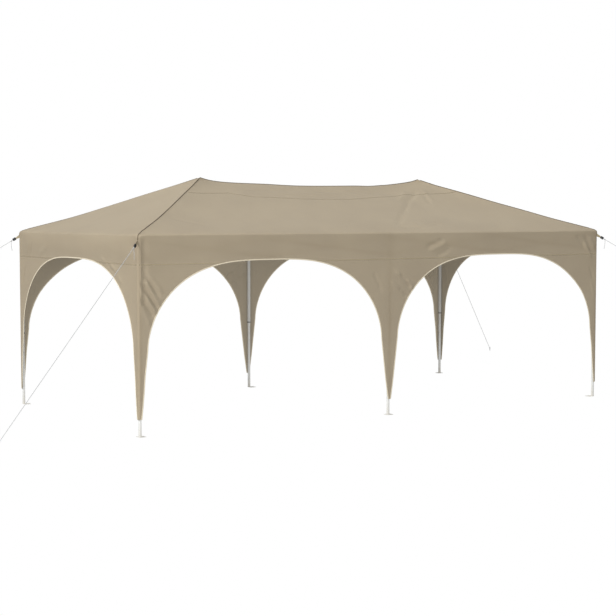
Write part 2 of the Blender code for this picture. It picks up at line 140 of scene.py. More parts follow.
# Light from all round, a little stronger from above and from the front, and weak at both ends
AMBIENT = 0.71
AMBIENT_SLOPE = (0.0, -0.06, 0.05)
END_SHADE = 0.58
world = bpy.data.worlds.new("studio")
bpy.context.scene.world = world
world.use_nodes = True
tree = world.node_tree
direction = add_node(tree, "TexCoord").outputs["Generated"]
slope = add_node(tree, "VectorMath", {0: direction, 1: AMBIENT_SLOPE}, operation="DOT_PRODUCT")
even = add_node(tree, "Math", {0: slope, 1: AMBIENT}, operation="ADD")
endwise = add_node(tree, "SeparateXYZ", {"Vector": direction}).outputs["X"]
squared = add_node(tree, "Math", {0: endwise, 1: endwise}, operation="MULTIPLY")
shade = add_node(tree, "Math", {0: squared, 1: squared}, operation="MULTIPLY")
strength = add_node(tree, "Math", {0: shade, 1: -END_SHADE, 2: even}, operation="MULTIPLY_ADD")
feed(tree, tree.nodes["Background"], {"Color": WHITE, "Strength": strength})

# Round soft lights: place, the point of the tent that it faces, width in metres, and watts
LIGHTS = {
    "key_light": ((-75.6, -14.1, 68.4), (0.0, 0.0, 1.5), 21.0, 86500.0),
    "front_fill_light": ((-4.5, -11.2, 1.3), (-1.0, 0.0, 1.3), 3.0, 216.0),
    "end_fill_light": ((-10.5, -6.5, 1.3), (-1.0, 0.0, 1.3), 3.0, 216.0),
}
for name, (place, target, width, watts) in LIGHTS.items():
    light = bpy.data.lights.new(name, "AREA")
    light.shape = "DISK"
    light.size = width
    light.energy = watts
    lamp = put_in_scene(name, light)
    lamp.location = place
    lamp.rotation_euler = (Vector(target) - Vector(place)).to_track_quat("-Z", "Y").to_euler()
    lamp.visible_camera = False


# Inner leg tubes: 25 mm square steel with a 1.5 mm wall, powder coated white. Holes 80 mm apart
# take the snap button, and a foot plate with a peg hole is welded to the lower end.

def start_material(name):
    """A new material with its node tree and its shader."""
    made = bpy.data.materials.new(name)
    made.use_nodes = True
    return made, made.node_tree, made.node_tree.nodes["Principled BSDF"]


def coated_steel(name, coat, dust):
    """White powder coat: a smooth satin skin with a faint orange peel, dusty near the ground."""
    made, tree, shader = start_material(name)
    place = add_node(tree, "TexCoord").outputs["Object"]
    height = add_node(tree, "SeparateXYZ", {"Vector": place}).outputs["Z"]
    # Rain splashes dust on the lowest 15 cm
    splash = add_node(tree, "MapRange", {"Value": height, "From Min": 0.15, "From Max": 0.0})
    specks = add_node(tree, "TexNoise", {"Vector": place, "Scale": 90.0, "Detail": 6.0})
    dusty = add_node(tree, "Math", {0: splash, 1: specks}, operation="MULTIPLY")
    colour = add_node(tree, "Mix", {"Factor": dusty, "A": linear(coat), "B": linear(dust)},
                      data_type="RGBA")
    worn = add_node(tree, "MapRange", {"Value": specks, "To Min": 0.32, "To Max": 0.46})
    # Orange peel has cells of about 1.5 mm; 4 mm is as fine as shows here
    peel = add_node(tree, "TexNoise", {"Vector": place, "Scale": 250.0, "Detail": 1.0})
    bump = add_node(tree, "Bump", {"Height": peel, "Strength": 0.1, "Distance": 0.0004})
    feed(tree, shader, {"Base Color": colour, "Roughness": worn, "Normal": bump})
    return made


inner_coat = coated_steel("white_powder_coat", "#D6D6D3", "#C4BEB0")
SHARP_ANGLE = math.radians(32)


def finish_piece(name, shape, material, body, nodes=()):
    """Make an object of a shape, smooth it, attach it to its body, and hide the nodes that it
    replaces.
    """
    bmesh.ops.recalc_face_normals(shape, faces=shape.faces)
    mesh = mesh_of(name, shape)
    mesh.shade_smooth()
    mesh.set_sharp_from_angle(angle=SHARP_ANGLE)
    mesh.materials.append(material)
    piece = put_in_scene(name, mesh)
    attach(piece, body)
    if nodes:
        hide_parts(*nodes)
    return piece


MARKS = "metres"            # the name of the marks on every piece that has them


def join_rows(shape, rows, marks=None, closed=False):
    """Skin over rows of points. Marks are the points' places on the cloth or cord, in metres."""
    layers = shape.loops.layers.uv
    layer = (layers.get(MARKS) or layers.new(MARKS)) if marks else None
    for number, (row, after) in enumerate(zip(rows, rows[1:])):
        for i in range(len(row) if closed else len(row) - 1):
            j = (i + 1) % len(row)
            face = shape.faces.new((row[i], row[j], after[j], after[i]))
            if marks:
                low, high = marks[number], marks[number + 1]
                for loop, mark in zip(face.loops, (low[i], low[i + 1], high[i + 1], high[i])):
                    loop[layer].uv = mark


TUBE_CORNER = 0.0035        # outer radius of a tube's corners


def rounded_square(x, y, half, corner_radius, steps=4):
    """Points of a level square with rounded corners, anticlockwise."""
    points = []
    for quarter, (sx, sy) in enumerate(((1, 1), (-1, 1), (-1, -1), (1, -1))):
        for step in range(steps + 1):
            turn = math.pi / 2 * (quarter + step / steps)
            points.append((x + sx * (half - corner_radius) + corner_radius * math.cos(turn),
                           y + sy * (half - corner_radius) + corner_radius * math.sin(turn)))
    return points


def add_square_tube(shape, x, y, half, wall, bottom, top):
    """A square tube: four rings of points, joined into a closed shell."""
    inner, inner_corner = half - wall, max(TUBE_CORNER - wall, 0.0015)
    rings = [[shape.verts.new((*point, z)) for point in rounded_square(x, y, reach, radius)]
             for reach, radius, z in ((half, TUBE_CORNER, bottom), (half, TUBE_CORNER, top),
                                      (inner, inner_corner, top), (inner, inner_corner, bottom))]
    join_rows(shape, rings + rings[:1], closed=True)


def worked_mesh(body):
    """The mesh of an object as its modifiers leave it."""
    bpy.context.view_layer.update()
    return bpy.data.meshes.new_from_object(
        body.evaluated_get(bpy.context.evaluated_depsgraph_get()))


def cut_away(shape, tool_shape):
    """Cut one solid out of another."""
    made = []
    for name, source in (("body", shape), ("tool", tool_shape)):
        bmesh.ops.recalc_face_normals(source, faces=source.faces)
        made.append(put_in_scene(name, mesh_of(name, source)))
    body, tool = made
    change = body.modifiers.new("cut", "BOOLEAN")
    change.operation = "DIFFERENCE"
    change.solver = "EXACT"
    change.object = tool
    result = bmesh.new()
    result.from_mesh(worked_mesh(body))
    for piece in made:
        bpy.data.objects.remove(piece, do_unlink=True)
    return result


def merge(shape, other):
    """Take one shape up into another."""
    mesh = mesh_of("merged", other)
    shape.from_mesh(mesh)
    bpy.data.meshes.remove(mesh)


def facing(direction):
    """The turn that points a shape's own upward axis in a direction."""
    return Vector(direction).to_track_quat("Z", "Y").to_matrix().to_4x4()


def add_round_bar(shape, start, end, radius, sides=24, end_radius=None):
    """A straight round bar, or a cone where the end radius differs."""
    start, end = Vector(start), Vector(end)
    bmesh.ops.create_cone(
        shape, cap_ends=True, segments=sides, radius1=radius,
        radius2=radius if end_radius is None else end_radius, depth=(end - start).length,
        matrix=Matrix.Translation((start + end) / 2) @ facing(end - start))


def cut_holes(shape, holes, radius):
    """Drill round holes, each given by two points of its axis."""
    drill = bmesh.new()
    for start, end in holes:
        add_round_bar(drill, start, end, radius, 16)
    return cut_away(shape, drill)


def add_rounded_block(shape, size, place, radius, steps=2):
    """A box with rounded edges, of that size before it is put in its place."""
    made = bmesh.ops.create_cube(shape, size=1.0, matrix=place @ Matrix.Diagonal((*size, 1.0)))
    edges = {edge for corner in made["verts"] for edge in corner.link_edges}
    bmesh.ops.bevel(shape, geom=list(edges), offset=radius, segments=steps, profile=0.5,
                    affect="EDGES")


LEGS = [f"{row}_{place}" for row in ("front", "back") for place in ("left", "middle", "right")]
UPPER_HALF = 0.015
LOWER_HALF = 0.0125
TUBE_WALL = 0.0015
BUTTON_HEIGHT = 0.828
HOLE_PITCH = 0.080
HOLE_RADIUS = 0.0038
PLATE_THICK = 0.004
PEG_HOLE_INSET = 0.017      # from the plate's free edges
PEG_HOLE_RADIUS = 0.005
WELD_WIDTH = 0.0022
WELD_HEIGHT = 0.0025
leg_axis = {}
for leg in LEGS:
    low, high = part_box(f"upper_leg_{leg}")
    inward_y = 1 if leg.startswith("front") else -1
    edge_y = low.y if inward_y > 0 else high.y
    leg_axis[leg] = ((low.x + high.x) / 2, edge_y + inward_y * UPPER_HALF, inward_y)

for leg in LEGS:
    x, y, inward_y = leg_axis[leg]
    low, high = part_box(f"lower_leg_{leg}")
    tube = bmesh.new()
    add_square_tube(tube, x, y, LOWER_HALF, TUBE_WALL, PLATE_THICK - 0.001, high.z)
    heights = [BUTTON_HEIGHT - HOLE_PITCH * step for step in range(4)]
    tube = cut_holes(tube, [((x, y, z), (x, y + inward_y * 0.02, z)) for z in heights],
                     HOLE_RADIUS)
    plate = bmesh.new()
    middle = ((low.x + high.x) / 2, (low.y + high.y) / 2, PLATE_THICK / 2)
    add_rounded_block(plate, (high.x - low.x, high.y - low.y, PLATE_THICK),
                      Matrix.Translation(middle), 0.0012)
    toe_x = (high.x - PEG_HOLE_INSET if abs(high.x - x) > abs(low.x - x)
             else low.x + PEG_HOLE_INSET)
    toe_y = high.y - PEG_HOLE_INSET if inward_y > 0 else low.y + PEG_HOLE_INSET
    plate = cut_holes(plate, [((toe_x, toe_y, -0.01), (toe_x, toe_y, 0.02))], PEG_HOLE_RADIUS)
    # The weld runs round the foot of the tube
    weld = [[tube.verts.new((*point, PLATE_THICK + rise))
             for point in rounded_square(x, y, LOWER_HALF + width, width + TUBE_CORNER)]
            for width, rise in ((0.0, WELD_HEIGHT), (WELD_WIDTH, 0.0))]
    join_rows(tube, weld, closed=True)
    merge(tube, plate)
    finish_piece(f"inner_tube_{leg}", tube, inner_coat, f"inner_leg_{leg}",
                 [f"lower_leg_{leg}"])


# Outer leg tubes: 30 mm square steel, coated like the inner ones but darker as painted shade.
# A zinc-plated snap button stands out of the inward face, and a plastic sleeve closes the lower
# end.

def moulded_plastic(name, colour, roughness):
    """Moulded nylon: an even colour with the fine grain that the mould was given."""
    made, tree, shader = start_material(name)
    place = add_node(tree, "TexCoord").outputs["Object"]
    # The mould's grain is about 0.5 mm; 3 mm is as fine as shows here
    grain = add_node(tree, "TexNoise", {"Vector": place, "Scale": 330.0, "Detail": 3.0})
    tone = add_node(tree, "Mix", {"Factor": grain, "A": shaded(colour, 0.75),
                                  "B": linear(colour)}, data_type="RGBA")
    rough = add_node(tree, "MapRange", {"Value": grain, "To Min": roughness - 0.08,
                                        "To Max": roughness + 0.1})
    bump = add_node(tree, "Bump", {"Height": grain, "Strength": 0.25, "Distance": 0.0003})
    feed(tree, shader, {"Base Color": tone, "Roughness": rough, "Normal": bump, "IOR": 1.53})
    return made


def plated_steel(name, colour):
    """Zinc-plated steel: grey metal with a fine mottle and an uneven dull shine."""
    made, tree, shader = start_material(name)
    place = add_node(tree, "TexCoord").outputs["Object"]
    # Zinc crystals are a few millimetres wide
    mottle = add_node(tree, "TexVoronoi", {"Vector": place, "Scale": 300.0})
    tone = add_node(tree, "Mix", {"Factor": mottle.outputs["Color"], "A": linear(colour),
                                  "B": shaded(colour, 0.8)}, data_type="RGBA")
    rough = add_node(tree, "MapRange", {"Value": mottle.outputs["Distance"], "To Min": 0.28,
                                        "To Max": 0.5})
    feed(tree, shader, {"Base Color": tone, "Roughness": rough, "Metallic": 1.0})
    return made


# The outer tubes, trusses and peak posts have the inner tubes' white coat, drawn darker: painted
# shade from the canopy over them.
outer_coat_painted_shade = coated_steel("white_powder_coat_with_painted_shade", "#C9C9C6", "#9A907D")
fitting_plastic = moulded_plastic("black_nylon_fittings", "#333334", 0.5)
sleeve_plastic = moulded_plastic("grey_nylon_sleeve", "#8A8A88", 0.5)
zinc_steel = plated_steel("zinc_plated_steel", "#B9BCBE")


def add_dome(shape, centre, direction, radius, rise):
    """A low domed head, such as that of a rivet or a button."""
    place = (Matrix.Translation(centre) @ facing(direction)
             @ Matrix.Diagonal((radius, radius, rise, 1.0)))
    bmesh.ops.create_uvsphere(shape, u_segments=14, v_segments=8, radius=1.0, matrix=place)


BUTTON_RADIUS = 0.004
BUTTON_OUT = 0.0022         # how far its shank stands out of the tube
SLEEVE_HALF = 0.0168
SLEEVE_WALL = 0.0016
SLEEVE_RIM = 0.0038         # the sleeve's turned-in rim closes the gap round the inner tube
for leg in LEGS:
    x, y, inward_y = leg_axis[leg]
    low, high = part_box(f"upper_leg_{leg}")
    tube = bmesh.new()
    add_square_tube(tube, x, y, UPPER_HALF, TUBE_WALL, low.z, high.z)
    tube = cut_holes(tube, [((x, y, BUTTON_HEIGHT), (x, y + inward_y * 0.03, BUTTON_HEIGHT))],
                     BUTTON_RADIUS + 0.0006)
    finish_piece(f"outer_tube_{leg}", tube, outer_coat_painted_shade, "tent",
                 [f"upper_leg_{leg}"])
    button = bmesh.new()
    face = y + inward_y * UPPER_HALF
    head = (x, face + inward_y * BUTTON_OUT, BUTTON_HEIGHT)
    add_round_bar(button, (x, face - inward_y * 0.0012, BUTTON_HEIGHT), head, BUTTON_RADIUS)
    add_dome(button, head, (0, inward_y, 0), BUTTON_RADIUS, 0.0018)
    finish_piece(f"snap_button_{leg}", button, zinc_steel, "tent")
    sleeve = bmesh.new()
    add_square_tube(sleeve, x, y, SLEEVE_HALF, SLEEVE_WALL, low.z + 0.0005, low.z + 0.014)
    add_square_tube(sleeve, x, y, SLEEVE_HALF, SLEEVE_RIM, low.z - 0.0025, low.z - 0.0004)
    finish_piece(f"end_sleeve_{leg}", sleeve, sleeve_plastic, "tent")


# Scissor trusses: flat-sided steel tubes, 24 by 8 mm, in crossed pairs that are riveted where
# they cross. Nylon couplers join the pairs, and nylon sliders carry them on the outer tubes.

LOW_PIVOT = 1.725
TOP_PIVOT = 1.900
PIVOT_REACH = 0.042         # from a leg's or peak post's axis to the pivots of its bars
LUG_REACH = 0.056           # from the same axis to the end of a lug
BAR_MIDDLE = 0.009          # from the truss's plane to the middle of a bar
BAR_SIZE = (0.008, 0.024)
BAR_TAIL = 0.014            # how far a bar goes on beyond its pivots
RIVET_HALF = 0.013          # from the truss's plane to a rivet's head
RIVET_RADIUS = 0.006
RIVET_RISE = 0.0025
COLLAR_OUTER = 0.017        # from the leg's axis to a collar's faces beside the canopy
COLLAR_INNER = 0.021        # and to its faces with lugs
COLLAR_PLAY = 0.0003        # between the outer tube and the collar
LUG_START = COLLAR_INNER - 0.002
LUG_SIZE = (0.0092, 0.036)
SLIDER_HALF = 0.022         # half the height of a slider
BORE_HALF = 0.030           # and of the bore that goes right through it
UP = Vector((0, 0, 1))


def along_axes(*directions):
    """The turn that lays a shape's own axes along three directions."""
    return Matrix(directions).transposed().to_4x4()


def left_of(direction):
    """The level direction at right angles to another."""
    return Vector((-direction.y, direction.x, 0.0))


def above(point, height):
    """A point at a height above a level one."""
    return point + UP * height


def add_bar(shape, start, end, across, layer):
    """One flat-sided tube between two pivots, with rounded ends beyond them."""
    along = (end - start).normalized()
    middle = (start + end) / 2 + across * layer * BAR_MIDDLE
    turn = along_axes(along, across, across.cross(along))
    add_rounded_block(shape, ((end - start).length + 2 * BAR_TAIL, *BAR_SIZE),
                      Matrix.Translation(middle) @ turn, 0.0022)


def add_rivet(shape, point, across):
    """A rivet through both layers of bars, seen as a domed head on each side."""
    for way in (-across, across):
        add_dome(shape, point + way * RIVET_HALF, way, RIVET_RADIUS, RIVET_RISE)


def add_crossed_bars(bars, rivets, near, far, across):
    """Two bars that cross between two uprights, riveted together in their middle."""
    add_bar(bars, above(near, LOW_PIVOT), above(far, TOP_PIVOT), across, 1)
    add_bar(bars, above(near, TOP_PIVOT), above(far, LOW_PIVOT), across, -1)
    add_rivet(rivets, above((near + far) / 2, (LOW_PIVOT + TOP_PIVOT) / 2), across)


def add_lug(shape, pivot, direction, start):
    """A nylon lug that reaches out between two bars to their pivot."""
    direction = Vector(direction)
    turn = along_axes(direction, left_of(direction), UP)
    middle = pivot + direction * (start + LUG_REACH) / 2
    add_rounded_block(shape, (LUG_REACH - start, *LUG_SIZE),
                      Matrix.Translation(middle) @ turn, 0.002)


# The ways in which each leg's bars run: along its row, and in to the middle of the tent
lug_ways = {}
for leg in LEGS:
    sides = {"left": (1,), "right": (-1,), "middle": (-1, 1)}[leg.split("_")[1]]
    lug_ways[leg] = [(side, 0, 0) for side in sides] + [(0, leg_axis[leg][2], 0)]


def nylon_collar(leg, low, high, bore, pivot, edge_radius):
    """A slider or bracket: thin beside the canopy, bored for the tube, with a lug to each way."""
    x, y, _ = leg_axis[leg]
    left, right, front, back = (COLLAR_INNER if way in lug_ways[leg] else COLLAR_OUTER
                                for way in ((-1, 0, 0), (1, 0, 0), (0, -1, 0), (0, 1, 0)))
    collar, hole = bmesh.new(), bmesh.new()
    middle = (x + (right - left) / 2, y + (back - front) / 2, (low + high) / 2)
    add_rounded_block(collar, (left + right, front + back, high - low),
                      Matrix.Translation(middle), edge_radius)
    side = 2 * (UPPER_HALF + COLLAR_PLAY)
    bmesh.ops.create_cube(hole, size=1.0, matrix=Matrix.Translation((x, y, sum(bore) / 2))
                          @ Matrix.Diagonal((side, side, bore[1] - bore[0], 1.0)))
    collar = cut_away(collar, hole)
    for way in lug_ways[leg]:
        add_lug(collar, Vector((x, y, pivot)), way, LUG_START)
    return collar


def add_truss(name, centre, along, stations, leg_stations, inward, slider_legs=()):
    """A row of crossed bars between stations on a line, with couplers where no leg stands."""
    centre, along = Vector(centre), Vector(along)
    across = left_of(along)
    bars, lugs, rivets = bmesh.new(), bmesh.new(), bmesh.new()
    for start, end in zip(stations, stations[1:]):
        near = centre + along * (start + (PIVOT_REACH if start in leg_stations else 0.0))
        far = centre + along * (end - (PIVOT_REACH if end in leg_stations else 0.0))
        add_crossed_bars(bars, rivets, near, far, across)
        at_legs = [point for station, point in ((start, near), (end, far))
                   if station in leg_stations]
        for point in at_legs:
            for height in (LOW_PIVOT, TOP_PIVOT):
                add_rivet(rivets, above(point, height), across)
    for station in [station for station in stations if station not in leg_stations]:
        for height in (LOW_PIVOT, TOP_PIVOT):
            pivot = above(centre + along * station, height)
            add_rivet(rivets, pivot, across)
            for direction in inward:
                add_lug(lugs, pivot, direction, -0.004)
    for leg in slider_legs:
        merge(lugs, nylon_collar(leg, LOW_PIVOT - SLIDER_HALF, LOW_PIVOT + SLIDER_HALF,
                                 (LOW_PIVOT - BORE_HALF, LOW_PIVOT + BORE_HALF), LOW_PIVOT,
                                 0.0035))
    finish_piece(f"{name}_bars", bars, outer_coat_painted_shade, "tent", [name])
    finish_piece(f"{name}_rivets", rivets, zinc_steel, "tent")
    finish_piece(f"{name}_couplers", lugs, fitting_plastic, "tent")


HALF_X = 2.96               # from the tent's middle to the trusses
HALF_Y = 1.48
PEAK_X = 1.48
for row, sign in (("front", -1), ("back", 1)):
    add_truss(f"truss_{row}", (0, sign * HALF_Y, 0), (1, 0, 0),
              (-HALF_X, -PEAK_X, 0.0, PEAK_X, HALF_X), (-HALF_X, 0.0, HALF_X),
              [(0, -sign, 0)], [leg for leg in LEGS if leg.startswith(row)])
for end, x, inward in (("left", -HALF_X, [(1, 0, 0)]), ("right", HALF_X, [(-1, 0, 0)]),
                       ("middle", 0.0, [(-1, 0, 0), (1, 0, 0)])):
    add_truss(f"truss_{end}", (x, 0, 0), (0, 1, 0), (-HALF_Y, 0.0, HALF_Y),
              (-HALF_Y, HALF_Y), inward)


# Top brackets: black nylon mouldings that close the outer tubes, with lugs for the truss bars.
# Their edges are well rounded, because the canopy is stretched over them.

BRACKET_LID = 0.010         # thickness of the closed top
for leg in LEGS:
    x, y, _ = leg_axis[leg]
    low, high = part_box(f"top_bracket_{leg}")
    bore = (low.z - 0.010, high.z - BRACKET_LID)
    bracket = nylon_collar(leg, low.z, high.z, bore, TOP_PIVOT, 0.0045)
    # A rib below each lug stiffens it
    for way in lug_ways[leg]:
        place = Vector((x, y, low.z + 0.009)) + Vector(way) * (COLLAR_INNER + 0.001)
        add_rounded_block(bracket, (0.004, 0.004, 0.016), Matrix.Translation(place), 0.0012)
    finish_piece(f"corner_bracket_{leg}", bracket, fitting_plastic, "tent",
                 [f"top_bracket_{leg}"])


# Peak posts: a 25 mm steel tube with a thinner one in it under each peak, held by four crossed
# pairs of bars at two nylon hubs. A nylon cone on top keeps it from wearing through the cloth.

POST_RADIUS = 0.0125
SLIM_RADIUS = 0.0095
POST_TOP = 2.120
CAP_RADIUS = 0.040
CAP_HEIGHT = 0.030
HUB_SIDE = 0.040
for end, x in (("left", -PEAK_X), ("right", PEAK_X)):
    node = f"peak_frame_{end}"
    low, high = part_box(node)
    bars, lugs, rivets = bmesh.new(), bmesh.new(), bmesh.new()
    add_round_bar(bars, (x, 0, low.z), (x, 0, POST_TOP), POST_RADIUS)
    add_round_bar(bars, (x, 0, POST_TOP - 0.02), (x, 0, high.z - 0.02), SLIM_RADIUS)
    add_round_bar(lugs, (x, 0, POST_TOP - 0.015), (x, 0, POST_TOP + 0.015), POST_RADIUS + 0.003)
    rim = high.z - CAP_HEIGHT
    add_round_bar(lugs, (x, 0, rim), (x, 0, high.z), CAP_RADIUS, 32, 0.004)
    add_round_bar(lugs, (x, 0, rim - 0.012), (x, 0, rim), CAP_RADIUS, 32)
    axis = Vector((x, 0, 0))
    for height in (LOW_PIVOT, TOP_PIVOT):
        add_rounded_block(lugs, [HUB_SIDE] * 3, Matrix.Translation(above(axis, height)), 0.003)
    for way in ((1, 0, 0), (-1, 0, 0), (0, 1, 0), (0, -1, 0)):
        across = left_of(Vector(way))
        near = axis + Vector(way) * PIVOT_REACH
        far = axis + Vector(way) * (PEAK_X - PIVOT_REACH)
        add_crossed_bars(bars, rivets, near, far, across)
        for height in (LOW_PIVOT, TOP_PIVOT):
            add_lug(lugs, above(axis, height), way, HUB_SIDE / 2 - 0.002)
            add_rivet(rivets, above(near, height), across)
            add_rivet(rivets, above(far, height), across)
    finish_piece(f"peak_post_{end}", bars, outer_coat_painted_shade, "tent", [node])
    finish_piece(f"peak_hubs_{end}", lugs, fitting_plastic, "tent")
    finish_piece(f"peak_rivets_{end}", rivets, zinc_steel, "tent")


# The canopy: one cover of coated polyester, sewn from roof panels, a straight valance and
# arched leg panels. It is stretched over the frame and held at the six legs.

CLOTH_THICKNESS = 0.0012    # about four times the real one, so that its edges show
PROUD = 0.005               # the cloth stands this far off the brackets' faces
wall_low, wall_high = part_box("wall_front")
roof_low, roof_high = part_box("roof_front")
EAVE = roof_low.z + 0.020
EDGE_X = wall_high.x + PROUD
EDGE_Y = -wall_low.y + PROUD
CORNER_ROUND = 0.022        # how far the cloth bends round a leg
FOLD_ROUND = 0.011          # how far it bends over the edge of the roof
PEAK_HEIGHT = roof_high.z
RIDGE_LOW = 2.479
RIDGE_SHOULDER = 0.026      # the ridge's even rise towards the peaks
TIP_LENGTH = 0.15           # over which it then rises sharply
TIP_HEIGHT = wall_low.z
TIP_HALF = 0.0154
TIP_TAPER = 0.1247          # how fast a leg panel widens, up to where its arches spring
SPRING_HEIGHT = 0.8535
CROWN_HEIGHT = 1.702
ARCH_RISE_POWER = 1.716
ARCH_RUN_POWER = 3.097
SIDES = {
    # along, outward, half its length, stations of its legs, seed of its unevenness
    "front": ((1, 0), (0, -1), EDGE_X, (-EDGE_X, 0.0, EDGE_X), 0.0),
    "back": ((-1, 0), (0, 1), EDGE_X, (-EDGE_X, 0.0, EDGE_X), 7.3),
    "left": ((0, -1), (-1, 0), EDGE_Y, (-EDGE_Y, EDGE_Y), 13.1),
    "right": ((0, 1), (1, 0), EDGE_Y, (-EDGE_Y, EDGE_Y), 21.7),
}


def smooth_step(values):
    """A soft step from 0 to 1."""
    values = np.clip(values, 0.0, 1.0)
    return values * values * (3 - 2 * values)


def bell(values, middle, width):
    """1 in the middle, and fading out evenly on both sides of it."""
    return np.exp(-((values - middle) / width) ** 2)


def ridge_height(x):
    """The ridge sags between the peaks, more on the right, and rises sharply at each one."""
    share = np.minimum(1.0, np.abs(x) / PEAK_X)
    rise = PEAK_HEIGHT - RIDGE_LOW - RIDGE_SHOULDER
    slack = 0.0115 * smooth_step((x + 0.75) / 0.55) * smooth_step((1.30 - x) / 0.35)
    dip = 0.007 * bell(x, 0.77, 0.13)
    return (RIDGE_LOW + RIDGE_SHOULDER * share ** 1.5 - slack - dip
            + rise * np.exp((share - 1.0) * PEAK_X / TIP_LENGTH))


def roof_height(side, s, t):
    """Height of the roof at distance s along its side and t inward from its edge."""
    half = SIDES[side][2]
    up = np.clip(t / EDGE_Y, 0.0, 1.0)
    if half == EDGE_X:
        at_edge = s / (1 - up * (1 - PEAK_X / EDGE_X))
        top = ridge_height((1 if side == "front" else -1) * at_edge * PEAK_X / EDGE_X)
    else:
        at_edge = s / np.maximum(1 - up, 1e-6)
        top = PEAK_HEIGHT
    share = np.clip((at_edge / half + 1) / 2, 0.0, 1.0)
    sag = (0.012 + 0.016 * np.sin(math.pi * share)) * 4 * up * (1 - up)
    # The hips sag in their lower half and are pulled straight above it
    sag += 0.007 * bell(up, 0.30, 0.15) - 0.004 * bell(up, 0.70, 0.12)
    return EAVE + (top - EAVE) * up - sag


def corner_pull(x, y, up):
    """What the pull at each corner adds to the even height of the cloth."""
    # How near a point is to each end and each long side, from 0 to 1
    left, right = np.clip(-x / 2.9, 0.0, 1.0), np.clip(x / 2.9, 0.0, 1.0)
    front, back = np.clip((1.5 - y) / 3.0, 0.0, 1.0), np.clip((1.5 + y) / 3.0, 0.0, 1.0)
    pull = 0.016 * np.clip((1.5 - x) / 4.5, 0.0, 1.0) * front * (1 - up)
    pull -= 0.010 * left * back * np.sin(math.pi * up)
    pull += right * front * (0.010 * bell(up, 0.38, 0.14) - 0.012 * bell(up, 0.90, 0.06))
    # The corners are drawn down over the frame
    from_corner = np.hypot(EDGE_X - np.abs(x), EDGE_Y - np.abs(y))
    depth = 0.010 + 0.010 * left * front + 0.004 * left * back
    return pull - depth * (1 - np.minimum(from_corner / 0.08, 1.0)) ** 2


# By height, how much wider the leg panels are cut than an even taper and arch. Those at the
# corners are as broad at the tip as the leg, and two are cut fuller under the valance.
PANEL_EASE = ((0.175, 0.25, 0.40, 0.75, 1.20, 1.45, 1.58, 1.66, 1.70),
              (0.003, 0.006, 0.0095, 0.0095, 0.006, 0.008, 0.011, 0.011, 0.0))
CORNER_EASE = ((0.175, 0.30, 0.45, 0.60), (0.019, 0.014, 0.007, 0.0))
SHOULDER_EASE = ((1.25, 1.45, 1.62, CROWN_HEIGHT - 0.004), (0.0, 1.0, 1.0, 0.0))
FULL_SHOULDERS = {("back", 2): 0.015, ("front", 2): 0.020}
ARCH_PITCH = 0.022


def lengths_along(points):
    """How far along a line each of its points lies."""
    steps = np.linalg.norm(np.diff(np.array(points), axis=0), axis=1)
    return np.concatenate([[0.0], np.cumsum(steps)])


def arch_edge(half_span):
    """Half width of a leg panel against height, in even steps along its edge."""
    spring_half = TIP_HALF + TIP_TAPER * (SPRING_HEIGHT - TIP_HEIGHT)
    taper = np.linspace(0.0, 1.0, 12)[:-1]
    share = np.sin(np.linspace(0, math.pi / 2, 400))
    run = 1 - (1 - share ** ARCH_RISE_POWER) ** (1 / ARCH_RUN_POWER)
    width = np.concatenate([TIP_HALF + (spring_half - TIP_HALF) * taper,
                            spring_half + (half_span - spring_half) * run])
    height = np.concatenate([TIP_HEIGHT + (SPRING_HEIGHT - TIP_HEIGHT) * taper,
                             SPRING_HEIGHT + (CROWN_HEIGHT - SPRING_HEIGHT) * share])
    width = np.minimum(width + np.interp(height, *PANEL_EASE), half_span)
    length = lengths_along(np.column_stack([width, height]))
    even = np.linspace(0.0, length[-1], int(length[-1] / ARCH_PITCH) + 1)
    return np.interp(even, length, width), np.interp(even, length, height)


def lower_edges(side):
    """The free edge below each arch of a side, from its left leg to its right one."""
    half, stations = SIDES[side][2:4]
    edges = []
    for number, (left, right) in enumerate(zip(stations, stations[1:])):
        width, height = arch_edge((right - left) / 2)
        t = height - EAVE
        ends = []
        for station, leg in ((left, number), (right, number + 1)):
            ease = np.interp(height, *CORNER_EASE) if abs(station) == half else 0.0
            ease = ease + (FULL_SHOULDERS.get((side, leg), 0.0)
                           * np.interp(height, *SHOULDER_EASE))
            ends.append(np.minimum(width + ease, (right - left) / 2))
        edges.append([(left + w, h) for w, h in zip(ends[0], t)]
                     + [(right - w, h) for w, h in zip(ends[1][-2::-1], t[-2::-1])])
    return edges


TIP = TIP_HEIGHT - EAVE
RUNGS = int(-TIP / 0.024)
HIP = [step / 56 for step in range(1, 57)]
RIDGE_STEPS = 80


def cloth_outline(side):
    """The outline of a side's flat cloth: its free edge, a corner, a hip, the ridge and back."""
    half = SIDES[side][2]
    ridge_half = half - EDGE_Y
    outline = [(-half, TIP)]
    for edge in lower_edges(side):
        outline += edge
    outline += [(half, TIP * (1 - step / RUNGS)) for step in range(RUNGS + 1)]
    outline += [(half - EDGE_Y * up, EDGE_Y * up) for up in HIP]
    if half == EDGE_X:
        outline += [(ridge_half * (1 - 2 * step / RIDGE_STEPS), EDGE_Y)
                    for step in range(1, RIDGE_STEPS + 1)]
    outline += [(EDGE_Y * up - half, EDGE_Y * up) for up in reversed(HIP[:-1])]
    return outline + [(-half, TIP * step / RUNGS) for step in range(RUNGS)]


FOLD_MARGIN = 0.06


def beside(lines, s, z):
    """Whether a point lies by one of the folds or creases."""
    return any(min(s0, s1) - FOLD_MARGIN < s < max(s0, s1) + FOLD_MARGIN
               and min(z0, z1) - FOLD_MARGIN < z < max(z0, z1) + FOLD_MARGIN
               for s0, z0, s1, z1, *_ in lines)


